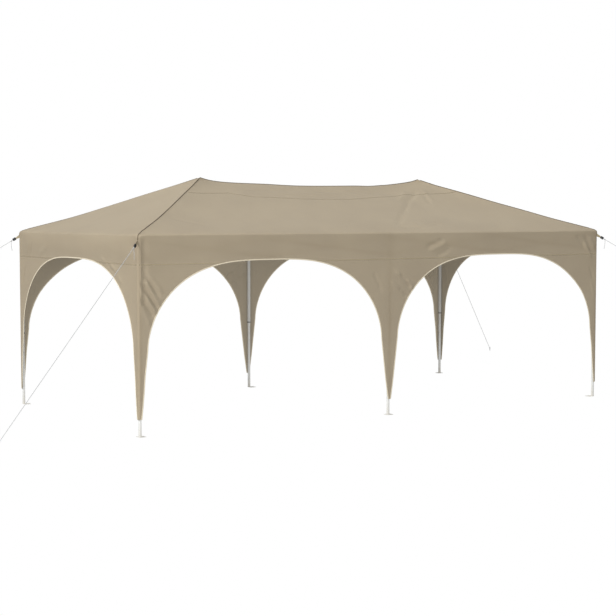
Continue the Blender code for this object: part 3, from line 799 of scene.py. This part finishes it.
# Rows of points lie close together where the cloth bends over the eave and round the corners.
# Elsewhere they form a grid of triangles, a finer one where the cloth is folded or creased.
EAVE_ROWS = (-0.040, -0.026, -0.0165, -0.011, -0.0075, -0.004, 0.0,
             0.005, 0.0105, 0.0165, 0.0225, 0.032, 0.044)
CORNER_GAPS = (0.005, 0.0105, 0.0165, 0.0225, 0.034)
WALL_PITCHES = ((False, 0.0265), (True, 0.01325))
ROOF_PITCHES = ((False, 0.052), (True, 0.030))
ROW_RISE = 0.866            # height of a triangle with sides of 1
EAVE_PITCH = 0.02           # between the points of the eave's rows
CORNER_CLEAR = 0.046        # how far the grids keep off the corners, the hips and the ridge
HIP_CLEAR = 0.034
RIDGE_CLEAR = 0.080
HIP_ROW = 0.014             # from a hip to the row of points beside it
WALL_START = -0.054         # first row of the walls' grid
ROOF_START = 0.060          # and of the roof's


def inner_points(side):
    """The points within a side's outline."""
    half, stations = SIDES[side][2:4]
    widths, heights = arch_edge((stations[1] - stations[0]) / 2)

    def on_wall(s, t, margin):
        reach = min(abs(s - station) for station in stations)
        height = t + EAVE
        if height < CROWN_HEIGHT + margin and (
                reach > np.interp(height, heights, widths) - margin
                or height < np.interp(reach, widths, heights) + margin):
            return False
        return abs(s) < half - margin and height > TIP_HEIGHT + margin

    inner = []
    for row in EAVE_ROWS:
        reach = half - 0.0285 - max(row, 0.0)
        count = int(2 * reach / EAVE_PITCH)
        inner += [(-reach + 2 * reach * step / count, row) for step in range(count + 1)]
    rungs = [-0.052 + (TIP + 0.052) * step / RUNGS for step in range(RUNGS)]
    for gap in CORNER_GAPS:
        inner += [(sign * (half - gap), t) for t in rungs for sign in (-1, 1)
                  if on_wall(sign * (half - gap), t, 0.004)]
        inner += [(sign * (half - gap - max(row, 0.0)), row)
                  for row in EAVE_ROWS[:-2] for sign in (-1, 1)]
    for fine, pitch in WALL_PITCHES:
        for row in range(int(-TIP / (pitch * ROW_RISE))):
            t = WALL_START - row * pitch * ROW_RISE
            for step in range(int(2 * half / pitch)):
                s = -half + (step + 0.5 * (row % 2) + 0.25) * pitch
                if (abs(s) < half - CORNER_CLEAR and on_wall(s, t, 0.5 * pitch)
                        and beside(WALL_FOLDS[half], s, t + EAVE) == fine):
                    inner.append((s, t))
    inner += [(sign * (half - EDGE_Y * up - HIP_ROW), EDGE_Y * up)
              for up in HIP[2:-1] for sign in (-1, 1)]
    for fine, pitch in ROOF_PITCHES:
        for row in range(int((EDGE_Y - RIDGE_CLEAR) / (pitch * ROW_RISE)) + 1):
            t = ROOF_START + row * pitch * ROW_RISE
            reach = half - t - HIP_CLEAR
            count = int(2 * reach / pitch)
            for step in range(count + 1 - row % 2):
                s = -reach + 2 * reach * (step + 0.5 * (row % 2)) / max(count, 1)
                if beside(ROOF_CREASES[half], s, t) == fine:
                    inner.append((s, t))
    return inner


# Folds that the stretched cloth shows. Each runs from one point to another on its side, in
# metres from a leg and above the ground, with its half width and its height, below 0 in a valley.
CORNER_FOLDS = [
    (0.082, 1.584, 0.223, 1.383, 0.021, -0.0100),
    (0.118, 1.573, 0.258, 1.413, 0.023, 0.0070),
    (0.068, 1.538, 0.240, 1.266, 0.023, 0.0120),
    (0.046, 1.495, 0.228, 1.243, 0.023, -0.0165),
    (0.045, 1.428, 0.200, 1.204, 0.022, 0.0115),
    (0.036, 1.358, 0.180, 1.163, 0.021, -0.0120),
    (0.036, 1.283, 0.130, 1.093, 0.021, 0.0060),
]
FAR_CORNER_FOLDS = [
    (-0.200, 1.890, -0.065, 1.690, 0.022, -0.0090),
    (-0.205, 1.810, -0.100, 1.650, 0.021, 0.0100),
    (-0.130, 1.880, -0.045, 1.750, 0.018, 0.0070),
    (-0.320, 1.900, -0.200, 1.760, 0.034, -0.0060),
    (-0.105, 1.520, -0.060, 1.380, 0.018, -0.0050),
    (-0.085, 1.350, -0.045, 1.150, 0.016, 0.0035),
]
MIDDLE_FOLDS = [
    (0.080, 1.545, 0.220, 1.420, 0.020, 0.0075),
    (0.140, 1.500, 0.265, 1.370, 0.020, -0.0090),
    (0.235, 1.450, 0.330, 1.330, 0.020, 0.0085),
    (0.030, 1.435, 0.180, 1.315, 0.020, 0.0065),
    (0.120, 1.360, 0.240, 1.265, 0.020, -0.0075),
    (0.540, 1.760, 0.750, 1.835, 0.028, 0.0060),
    (0.500, 1.805, 0.700, 1.870, 0.026, -0.0060),
    (0.630, 1.705, 0.800, 1.770, 0.024, -0.0060),
    (-0.200, 1.520, -0.110, 1.350, 0.022, -0.0045),
]
END_FOLDS = [
    (0.605, 1.720, 0.825, 1.810, 0.028, 0.0060),
    (0.200, 1.560, 0.110, 1.380, 0.020, -0.0070),
    (0.330, 1.850, 0.250, 1.730, 0.022, 0.0060),
    (0.420, 1.830, 0.340, 1.700, 0.024, -0.0060),
    (2.195, 1.720, 2.495, 1.620, 0.026, 0.0070),
    (2.300, 1.690, 2.560, 1.560, 0.024, -0.0070),
    (2.420, 1.660, 2.640, 1.500, 0.022, 0.0060),
    (2.900, 1.420, 2.840, 1.260, 0.018, -0.0050),
]
WALL_FOLDS = {half: [(base + s0, z0, base + s1, z1, width, rise)
                     for base, group in groups for s0, z0, s1, z1, width, rise in group]
              for half, groups in (
                  (EDGE_X, ((-EDGE_X, CORNER_FOLDS), (EDGE_X, FAR_CORNER_FOLDS),
                            (0.0, MIDDLE_FOLDS))),
                  (EDGE_Y, ((-EDGE_Y, END_FOLDS),)))}


def fold(s, z, line):
    """Height of one fold at points of a side: a soft ridge that fades out at both ends."""
    s0, z0, s1, z1, width, rise = line
    span = math.hypot(s1 - s0, z1 - z0)
    run_s, run_z = (s1 - s0) / span, (z1 - z0) / span
    along = ((s - s0) * run_s + (z - z0) * run_z) / span
    away = (s - s0) * run_z - (z - z0) * run_s
    fade = smooth_step((along + 0.2) / 0.4) * smooth_step((1.2 - along) / 0.4)
    return rise * fade * bell(away, 0.0, width)


def uneven(s, t, along, across, shift, seed):
    """Smooth unevenness at points of a side, from -1 to 1."""
    return np.array([noise.noise(Vector((a * along + shift, b * across, seed)))
                     for a, b in zip(s, t)])


def wall_relief(side, s, t):
    """How far the valance and leg panels stand out from their plane."""
    half, stations, seed = SIDES[side][2:]
    z = t + EAVE
    relief = (0.0036 * uneven(s, z, 1.7, 1.1, seed, seed)
              + 0.0012 * uneven(s, z, 5.5, 3.1, 0.0, seed + 4))
    for line in WALL_FOLDS[half]:
        relief += fold(s, z, line)
    if half == EDGE_X:
        # Beside its first leg the cloth sinks in, from the eave down to the folds
        relief += smooth_step((z - 1.26) / 0.08) * (0.006 * bell(s, 0.030 - half, 0.012)
                                                    - 0.010 * bell(s, 0.068 - half, 0.024))
    # The legs and trusses behind it keep the cloth from going in far
    from_corner = half - np.abs(s)
    from_leg = np.min([np.abs(s - station) for station in stations], axis=0)
    below_truss = smooth_step((1.69 - z) / 0.03)
    room = (0.005 + 0.020 * smooth_step((from_leg - 0.045) / 0.03) * below_truss
            + 0.009 * smooth_step((from_leg - 0.09) / 0.04) * (1 - below_truss))
    relief = np.where(relief < 0, -room * np.tanh(-relief / room), relief)
    relief *= smooth_step((-t - 0.016) / 0.06) * smooth_step((from_corner - 0.012) / 0.03)
    # The binding keeps the arches' edges even
    widths, heights = arch_edge((stations[1] - stations[0]) / 2)
    from_edge = np.where(z > CROWN_HEIGHT - 0.03, 1.0, np.interp(z, heights, widths) - from_leg)
    relief *= 0.35 + 0.65 * smooth_step(from_edge / 0.05)
    if half == EDGE_Y:
        # Between the corners the short valances belly out
        relief += (0.016 * (1 - np.exp(np.minimum(t, 0.0) / 0.055))
                   * smooth_step((t + 0.30) / 0.20) * smooth_step((from_corner - 0.08) / 0.15))
    return relief


# Creases of the long roof panels, in metres along the side and in from its edge
ROOF_CREASES = {EDGE_Y: [], EDGE_X: [
    (1.300, 1.300, 1.040, 1.070, 0.028, -0.0130),
    (1.026, 1.060, 0.706, 0.718, 0.028, -0.0120),
    (0.706, 0.718, 0.332, 0.316, 0.030, -0.0085),
    (1.150, 1.290, 0.900, 1.080, 0.030, 0.0100),
    (1.360, 1.190, 1.250, 0.960, 0.026, -0.0100),
    (1.420, 1.300, 1.340, 1.060, 0.026, 0.0080),
    (0.287, 0.217, 0.560, 0.180, 0.024, -0.0065),
    (0.527, 0.175, 0.894, 0.296, 0.024, -0.0085),
    (0.480, 0.260, 0.860, 0.370, 0.026, 0.0060),
    (-2.350, 0.480, -2.080, 0.300, 0.026, -0.0050),
    (-0.950, 1.330, -0.250, 1.400, 0.024, -0.0090),
    (-0.700, 1.250, 0.100, 1.290, 0.024, 0.0080),
    (-0.100, 1.360, 0.750, 1.330, 0.024, -0.0090),
    (0.150, 1.225, 1.000, 1.290, 0.022, -0.0080),
    (-0.500, 1.180, 0.300, 1.180, 0.022, -0.0070),
]}


def roof_relief(side, s, t):
    """How far the roof cloth stands above its even sag."""
    half, _, seed = SIDES[side][2:]
    relief = (0.006 * uneven(s, t, 1.1, 1.3, seed + 2, seed + 2)
              + 0.0014 * uneven(s, t, 4.0, 3.0, 0.0, seed + 6))
    for line in ROOF_CREASES[half]:
        relief += fold(s, t, line)
    from_hip = (half - t) - np.abs(s)
    held = smooth_step(t / 0.08) * smooth_step(from_hip / 0.08)
    if half == EDGE_X:
        held = held * smooth_step((EDGE_Y - t) / 0.08)
    return relief * held


def rounded(places, roof_above):
    """Bend the sharp corners and the fold of the eave, as a cube is drawn out to a sphere."""
    reach = np.array((EDGE_X, EDGE_Y)) - CORNER_ROUND
    out = np.clip((np.abs(places[:, :2]) - reach) / CORNER_ROUND, 0.0, 1.0)
    up = np.clip((places[:, 2] - roof_above + FOLD_ROUND) / FOLD_ROUND, 0.0, 1.0)
    shares = np.column_stack([out, up])
    shares *= (shares.max(axis=1) / np.maximum(np.linalg.norm(shares, axis=1), 1e-9))[:, None]
    bent = places.copy()
    corner = np.sign(places[:, :2]) * (reach + CORNER_ROUND * shares[:, :2])
    bent[:, :2] = np.where(out > 0, corner, places[:, :2])
    bent[:, 2] = np.where(up > 0, roof_above + FOLD_ROUND * (shares[:, 2] - 1.0), places[:, 2])
    return bent


def place_on_side(side, flat):
    """Carry flat points of a side's cloth to where they hang."""
    along, outward, half = SIDES[side][:3]
    flat = np.array(flat)
    s, t = flat[:, 0], flat[:, 1]
    on_wall = t < 0
    reach = (EDGE_Y if half == EDGE_X else EDGE_X) - np.maximum(t, 0.0)
    roof_above = np.where(on_wall, EAVE, roof_height(side, s, np.maximum(t, 0.0)))
    sharp = np.column_stack([along[0] * s + outward[0] * reach, along[1] * s + outward[1] * reach,
                             np.where(on_wall, t + EAVE, roof_above)])
    places = rounded(sharp, roof_above)
    stand = wall_relief(side, s, np.minimum(t, 0.0))
    places[:, 0] += outward[0] * stand
    places[:, 1] += outward[1] * stand
    places[:, 2] += np.where(on_wall, 0.0, roof_relief(side, s, np.maximum(t, 0.0)))
    pull = corner_pull(places[:, 0], places[:, 1], np.clip(t / EDGE_Y, 0.0, 1.0))
    places[:, 2] += pull * np.where(on_wall, smooth_step(1 + t / 0.22), 1.0)
    return places


def within(outline, points):
    """Which of the points lie within an outline, by counting the edges to their right."""
    outline, points = np.array(outline), np.array(points)
    inside = np.zeros(len(points), dtype=bool)
    for (s0, t0), (s1, t1) in zip(outline, np.roll(outline, -1, axis=0)):
        if t0 != t1:
            level = (points[:, 1] < t0) != (points[:, 1] < t1)
            crossing = s0 + (points[:, 1] - t0) / (t1 - t0) * (s1 - s0)
            inside ^= level & (points[:, 0] < crossing)
    return inside


def sew_canopy():
    """All four sides in one mesh, joined at the hips, the ridge and the corners."""
    shape = bmesh.new()
    weave = shape.loops.layers.uv.new(MARKS)
    for side in SIDES:
        outline = cloth_outline(side)
        points = [Vector(p) for p in outline + inner_points(side)]
        found = delaunay_2d_cdt(points, [], [list(range(len(outline)))], 0, 1e-5, False)
        flat = [(p.x, p.y) for p in found[0]]
        verts = [shape.verts.new(p) for p in place_on_side(side, flat)]
        middles = [np.mean([flat[i] for i in face], axis=0) for face in found[2]]
        for face, kept in zip(found[2], within(outline, middles)):
            if kept:
                made = shape.faces.new([verts[i] for i in face])
                for loop, i in zip(made.loops, face):
                    loop[weave].uv = flat[i]
    bmesh.ops.remove_doubles(shape, verts=shape.verts, dist=0.0002)
    return shape


canopy_shape = sew_canopy()
bmesh.ops.recalc_face_normals(canopy_shape, faces=canopy_shape.faces)
canopy_tree = BVHTree.FromBMesh(canopy_shape)


def coated_polyester(name, colour, shade, thread_mm, light_through=None, stitch_rows=()):
    """Coated polyester cloth: matt, evenly dyed, with a plain weave and a slight sheen."""
    made, tree, shader = start_material(name)
    place = add_node(tree, "TexCoord").outputs["Object"]
    flat = add_node(tree, "UVMap", uv_map=MARKS).outputs["UV"]
    # Dye and dust vary a little over each half metre
    cloudy = add_node(tree, "TexNoise", {"Vector": place, "Scale": 2.2, "Detail": 3.0})
    blend = add_node(tree, "MapRange", {"Value": cloudy, "From Min": 0.35, "From Max": 0.65})
    tone = add_node(tree, "Mix", {"Factor": blend, "A": linear(colour), "B": linear(shade)},
                    data_type="RGBA")
    # Threads are 0.4 mm apart; the weave is drawn coarser so that it shows
    scale = math.pi / (10 * thread_mm * 0.001)
    warp, weft = (add_node(tree, "TexWave", {"Vector": flat, "Scale": scale},
                           bands_direction=way).outputs["Fac"] for way in "XY")
    cross = add_node(tree, "Math", {0: warp, 1: weft}, operation="MULTIPLY")
    slub = add_node(tree, "TexNoise", {"Vector": flat, "Scale": 160.0, "Detail": 2.0})
    relief = add_node(tree, "Math", {0: cross, 1: slub}, operation="ADD")
    flecked = add_node(tree, "MapRange", {"Value": slub, "From Min": 0.3, "From Max": 0.7,
                                          "To Min": 0.96, "To Max": 1.04})
    surface = add_node(tree, "Mix", {"Factor": 1.0, "A": tone, "B": flecked},
                       data_type="RGBA", blend_type="MULTIPLY")
    # Rows of stitches: 2 mm wide and 8 mm apart, twice as coarse as the real ones
    across = add_node(tree, "SeparateXYZ", {"Vector": flat})
    stepped = add_node(tree, "Math", {0: across.outputs["X"], 1: 0.008}, operation="MODULO")
    stitch = add_node(tree, "Math", {0: stepped, 1: 0.0055}, operation="LESS_THAN")
    for row in stitch_rows:
        in_row = add_node(tree, "Math", {0: across.outputs["Y"], 1: row, 2: 0.001},
                          operation="COMPARE")
        thread = add_node(tree, "Math", {0: in_row, 1: stitch}, operation="MULTIPLY")
        surface = add_node(tree, "Mix", {"Factor": thread, "A": surface,
                                         "B": shaded(colour, 1.5)}, data_type="RGBA")
        relief = add_node(tree, "Math", {0: thread, 1: 2.0, 2: relief},
                          operation="MULTIPLY_ADD")
    bump = add_node(tree, "Bump", {"Height": relief, "Strength": 0.35, "Distance": 0.0004})
    feed(tree, shader, {"Base Color": surface, "Normal": bump, "Roughness": 0.72,
                        "Specular IOR Level": 0.3, "Sheen Weight": 0.08, "Sheen Roughness": 0.5})
    if light_through:
        # Some daylight comes through the cloth and lights it from inside
        through = add_node(tree, "BsdfTranslucent", {"Color": linear(light_through)})
        both = add_node(tree, "MixShader", {0: 0.40, 1: shader, 2: through})
        feed(tree, tree.nodes["Material Output"], {"Surface": both})
    return made


canopy_cloth = coated_polyester("coated_polyester", "#B4A58C", "#AFA088", 4.0,
                                light_through="#E1E1DC")
single = put_in_scene("canopy_single", mesh_of("canopy_single", canopy_shape))
thicken = single.modifiers.new("thickness", "SOLIDIFY")
thicken.thickness = CLOTH_THICKNESS
thicken.offset = -1.0
thick = worked_mesh(single)
bpy.data.objects.remove(single, do_unlink=True)
thick.name = "canopy"
thick.shade_smooth()
thick.set_sharp_from_angle(angle=math.radians(24))
thick.materials.append(canopy_cloth)
canopy = put_in_scene("canopy", thick)
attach(canopy, "tent")
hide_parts(*[f"roof_{side}" for side in SIDES], *[f"wall_{side}" for side in SIDES])


# Seams and hems of the canopy: a piped seam along each hip and the ridge, flat felled seams
# where two widths of cloth meet, drawn darker as painted shade, and a binding tape along the
# arches, drawn pale cream as a painted highlight.

piping_cloth = coated_polyester("piping_polyester", "#5F5340", "#574B39", 3.0)
# Felled seams are drawn darker than the cloth: painted shade of the step along their edges.
seam_cloth_painted_shade = coated_polyester("felled_seam_polyester_painted_shade", "#8C806A", "#857963", 3.0,
                              stitch_rows=(-0.0035, 0.0035))
valance_seam = coated_polyester("valance_seam_polyester_painted_shade", "#9A8E76", "#958971", 3.0)
# The binding's pale cream is a painted highlight along the arches' edges, on both faces.
pale_binding_painted_highlight = coated_polyester("binding_tape_with_painted_highlight", "#D2C8B2", "#CBC1AA", 3.0,
                                stitch_rows=(0.0075,))


def on_canopy(point, lift):
    """The nearest point of the canopy's outer face, and that point moved out by a distance."""
    near, normal, _, _ = canopy_tree.find_nearest(Vector(point))
    return near + normal * lift, normal


def run_at(line, index):
    """The direction of a line at one of its points."""
    before, after = line[max(index - 1, 0)], line[min(index + 1, len(line) - 1)]
    return (Vector(after) - Vector(before)).normalized()


def on_circle(centre, first, second, radius, angle):
    """A point of a circle, in the plane of two directions."""
    return centre + (first * math.cos(angle) + second * math.sin(angle)) * radius


def add_ring(shape, centre, first, second, radius, sides):
    """The points of one ring round a cord."""
    return [shape.verts.new(on_circle(centre, first, second, radius, 2 * math.pi * k / sides))
            for k in range(sides)]


def skin_cord(shape, rings, radius, lengths):
    """The surface over a cord's rings, closed at both ends and marked along and round it."""
    sides = len(rings[0])
    around = [2 * math.pi * radius * k / sides for k in range(sides + 1)]
    join_rows(shape, rings, [[(length, a) for a in around] for length in lengths], closed=True)
    shape.faces.new(rings[0])
    shape.faces.new(reversed(rings[-1]))


def lay_piping(name, guide, radius):
    """A round piped seam along a line on the canopy, half sunk in it."""
    shape = bmesh.new()
    rings = []
    for index, point in enumerate(guide):
        run = run_at(guide, index)
        centre, normal = on_canopy(point, radius * 0.2)
        side = run.cross(normal).normalized()
        rings.append(add_ring(shape, centre, side, side.cross(run).normalized(), radius, 8))
    skin_cord(shape, rings, radius, lengths_along([ring[0].co for ring in rings]))
    return finish_piece(name, shape, piping_cloth, "tent")


CORNERS = {"front_left": (-1, -1), "front_right": (1, -1), "back_left": (-1, 1),
           "back_right": (1, 1)}
for corner, (sx, sy) in CORNERS.items():
    # Down the hip, over the rounded corner and on to the guy rope's tab
    down = np.concatenate([np.linspace(0.985, 0.03, 80), np.linspace(0.026, 0.0, 8)])
    sharp = np.column_stack([sx * (EDGE_X - EDGE_Y * down), sy * EDGE_Y * (1 - down),
                             roof_height("left", 0.0, EDGE_Y * down)])
    below = np.array([(sx * EDGE_X, sy * EDGE_Y, EAVE - 0.003 * step) for step in range(1, 12)])
    guide = np.concatenate([rounded(sharp, sharp[:, 2]),
                            rounded(below, np.full(len(below), EAVE))])
    ups = np.concatenate([down, np.zeros(len(below))])
    guide[:, 2] += corner_pull(guide[:, 0], guide[:, 1], ups)
    lay_piping(f"hip_seam_{corner}", guide, 0.0045)
guide = [(x, 0.0, float(ridge_height(np.array(x)))) for x in np.linspace(-PEAK_X, PEAK_X, 100)]
lay_piping("ridge_seam", guide, 0.0042)


def sew_on(name, side, line, profile, material, free_edge=False):
    """A strip of cloth along a line on one side. The profile gives its rows: how far across the
    line each lies, and how far off the cloth. At a free edge, rows below 0 go round it."""
    shape = bmesh.new()
    line = np.array(line)
    run = np.gradient(line, axis=0)
    run /= np.hypot(run[:, 0], run[:, 1])[:, None]
    across = np.stack([-run[:, 1], run[:, 0]], axis=1)
    lengths = lengths_along(line)
    edge = place_on_side(side, line)
    rows, marks = [], []
    for offset, rise in profile:
        reach = max(offset, 0.0005) if free_edge else offset
        row = []
        for target, base in zip(place_on_side(side, line + across * reach), edge):
            near, _ = on_canopy(target, rise)
            if free_edge and offset < 0:
                near += (Vector(base) - Vector(target)).normalized() * -offset
            row.append(shape.verts.new(near))
        rows.append(row)
        marks.append([(length, abs(offset) if free_edge else offset) for length in lengths])
    join_rows(shape, rows, marks)
    finish_piece(name, shape, material, "tent")


def seam_profile(lift):
    """Rows of a flat felled seam, 14 mm wide, with its edges turned down into the cloth."""
    return ((-0.007, -0.0002), (-0.00616, lift), (0.0, lift * 0.8), (0.00616, lift),
            (0.007, -0.0002))


SEAM_X = (-2.95, -1.84, -1.29, -1.03, -0.43, 0.24, 1.17, 1.74, 2.95)
SEAM_IN = (1.11, 1.112, 1.218, 1.134, 1.118, 1.110, 1.232, 1.170, 1.17)
for side in ("front", "back"):
    reach = EDGE_X - 1.15
    line = [(x, float(np.interp(x, SEAM_X, SEAM_IN))) for x in np.linspace(-reach, reach, 150)]
    sew_on(f"roof_seam_{side}", side, line, seam_profile(0.0012), seam_cloth_painted_shade)
VALANCE_SEAM_HEIGHT = 1.682
for side, (_, _, half, stations, _) in SIDES.items():
    width, height = arch_edge((stations[1] - stations[0]) / 2)
    reach = float(np.interp(VALANCE_SEAM_HEIGHT, height, width)) - 0.03
    for number, station in enumerate(stations):
        low_s = max(station - reach, -half + 0.02)
        high_s = min(station + reach, half - 0.02)
        line = [(s, VALANCE_SEAM_HEIGHT - EAVE) for s in np.linspace(low_s, high_s, 60)]
        sew_on(f"valance_seam_{side}_{number}", side, line, seam_profile(0.0010),
               valance_seam if half == EDGE_X else seam_cloth_painted_shade)

# The binding is a tape folded over the edge: up the outside, under the edge, up the inside
BINDING_WIDTH = 0.010
BACK = -CLOTH_THICKNESS
BINDING_PROFILE = (
    (BINDING_WIDTH, -0.0001), (BINDING_WIDTH - 0.001, 0.0010), (0.002, 0.0013),
    (-0.0014, 0.0002), (-0.0014, BACK - 0.0002), (0.002, BACK - 0.0013),
    (BINDING_WIDTH - 0.001, BACK - 0.0010), (BINDING_WIDTH, BACK + 0.0001))
for side in SIDES:
    for number, edge in enumerate(lower_edges(side)):
        sew_on(f"arch_binding_{side}_{number}", side, edge, BINDING_PROFILE, pale_binding_painted_highlight,
               free_edge=True)


# Guy ropes: a webbing tab sewn to each corner, a black plastic tensioner on it, and 5 mm
# braided rope with a knot and a loose end, tied to a galvanised steel peg.

def braided_rope(name, colour, fleck):
    """Braided polyester: strands that wind both ways round a soft core, matt and pale."""
    made, tree, shader = start_material(name)
    flat = add_node(tree, "UVMap", uv_map=MARKS).outputs["UV"]
    # Strands cross every 4 mm along the rope
    strands = []
    for slope in (1.0, -1.0):
        turned = add_node(tree, "Mapping", {"Vector": flat, "Rotation": (0, 0, slope * 0.785)})
        strands.append(add_node(tree, "TexWave", {"Vector": turned, "Scale": 110.0},
                                bands_direction="X").outputs["Fac"])
    cross = add_node(tree, "Math", {0: strands[0], 1: strands[1]}, operation="MULTIPLY")
    tone = add_node(tree, "Mix", {"Factor": cross, "A": linear(fleck), "B": linear(colour)},
                    data_type="RGBA")
    bump = add_node(tree, "Bump", {"Height": cross, "Strength": 0.5, "Distance": 0.0005})
    feed(tree, shader, {"Base Color": tone, "Normal": bump, "Roughness": 0.8,
                        "Sheen Weight": 0.2})
    return made


rope_braid = braided_rope("braided_polyester_rope", "#D2D3D2", "#8F9091")
webbing = coated_polyester("polyester_webbing", "#9A8F76", "#8C8168", 3.0)
tensioner_plastic = moulded_plastic("black_acetal_tensioner", "#0C0C0C", 0.4)
ROPE_RADIUS = 0.0025
TAB_HEIGHT = 1.903          # of the middle of the tab, where it is sewn to the corner
TAB_LENGTH = 0.052
TAB_HALF = 0.018            # half its width at the corner
TAB_POINT = 0.0075          # and at the tensioner
STRAP_THICKNESS = 0.0011
TENSIONER_SIZE = (0.040, 0.018, 0.030)
KNOT_RADIUS = 0.0045
LOOP_RADIUS = 0.0075        # of the rope's turn round the peg
TAIL_LENGTH = 0.105
PEG_RADIUS = 0.004
PEG_BEND = 0.010
HOOK_LENGTH = 0.018
TIE_HEIGHT = 0.030          # of the rope's turn round the peg


def add_swept(shape, path, radius, sides=10):
    """A round cord along a path of points, with closed ends."""
    rings, normal = [], run_at(path, 0).orthogonal()
    for index, point in enumerate(path):
        run = run_at(path, index)
        normal = (normal - run * normal.dot(run)).normalized()
        rings.append(add_ring(shape, point, normal, run.cross(normal), radius, sides))
    skin_cord(shape, rings, radius, lengths_along(path))


for corner, (sx, sy) in CORNERS.items():
    low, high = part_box(f"peg_{corner}")
    start = Vector((sx * (EDGE_X - PROUD), sy * (EDGE_Y - PROUD), TAB_HEIGHT))
    peg = Vector(((low.x if sx > 0 else high.x) + sx * PEG_RADIUS,
                  (low.y if sy > 0 else high.y) + sy * PEG_RADIUS, TIE_HEIGHT))
    run = (peg - start).normalized()
    level = Vector((run.x, run.y, 0.0)).normalized()
    side = left_of(level)

    # Webbing tab: two layers of strap, folded to a point where they hold the tensioner
    tab = bmesh.new()
    for layer in (-1, 1):
        points, marks = [], []
        for k in (-1, -0.5, 0, 0.5, 1):
            points.append([])
            marks.append([])
            for share in (step / 8 for step in range(9)):
                bulge = math.sin(share * math.pi)
                half = TAB_HALF * (1 - share) + TAB_POINT * share + 0.002 * bulge
                centre = start + run * (TAB_LENGTH * share) - level * (0.004 * (1 - share))
                out = side * layer * (0.0013 + 0.0006 * bulge)
                points[-1].append(centre + UP * half * k + out)
                marks[-1].append((share * 0.05, half * k))
        for depth in (0.0, STRAP_THICKNESS):
            join_rows(tab, [[tab.verts.new(p - side * layer * depth) for p in row]
                            for row in points], marks)
    finish_piece(f"webbing_tab_{corner}", tab, webbing, "tent",
                 [f"guy_adjuster_{corner}"])

    # Tensioner: a stubby moulding with rounded edges that the rope is tied to
    tensioner = bmesh.new()
    middle = start + run * (TAB_LENGTH + TENSIONER_SIZE[0] / 2 - 0.004)
    turn = along_axes(run, side, run.cross(side))
    add_rounded_block(tensioner, TENSIONER_SIZE, Matrix.Translation(middle) @ turn, 0.0065, 4)
    finish_piece(f"tensioner_{corner}", tensioner, tensioner_plastic, "tent")

    # Rope: taut to the peg and tied round its neck, with a knot and a loose end at the top
    rope = bmesh.new()
    top = start + run * (TAB_LENGTH + TENSIONER_SIZE[0] - 0.006)
    foot = peg - run * 0.010
    add_swept(rope, [top.lerp(foot, k / 150) for k in range(151)], ROPE_RADIUS)
    turn_round = [on_circle(peg, -level, side, LOOP_RADIUS, 2 * math.pi * share)
                  + UP * (0.004 * share - 0.003) for share in (k / 20 for k in range(21))]
    add_swept(rope, turn_round, ROPE_RADIUS * 0.9)
    knot = top + run * 0.020
    wraps = [on_circle(knot + run * (KNOT_RADIUS * (k / 18 - 1)), side, run.cross(side),
                       KNOT_RADIUS, 2 * math.pi * k / 12) for k in range(37)]
    add_swept(rope, wraps, ROPE_RADIUS * 0.95)
    tail = []
    for share in (k / 24 for k in range(25)):
        drop = TAIL_LENGTH * share
        tail.append(knot + run * 0.004 - UP * (0.004 + drop)
                    + side * 0.006 * math.sin(drop * 28) - level * 0.010 * share ** 2)
    add_swept(rope, tail, ROPE_RADIUS * 0.92)
    finish_piece(f"rope_{corner}", rope, rope_braid, "tent", [f"guy_rope_{corner}"])

    # Peg: bent from 8 mm rod, its hook turned away from the tent
    pin = bmesh.new()
    bottom = Vector((peg.x, peg.y, 0.0))
    neck = above(bottom, high.z - PEG_BEND - PEG_RADIUS)
    path = [bottom, above(bottom, 0.020), neck]
    path += [on_circle(neck + level * PEG_BEND, -level, UP, PEG_BEND, math.pi / 16 * k)
             for k in range(1, 9)]
    path.append(path[-1] + level * HOOK_LENGTH)
    add_swept(pin, path, PEG_RADIUS, sides=14)
    finish_piece(f"steel_peg_{corner}", pin, zinc_steel, "tent", [f"peg_{corner}"])
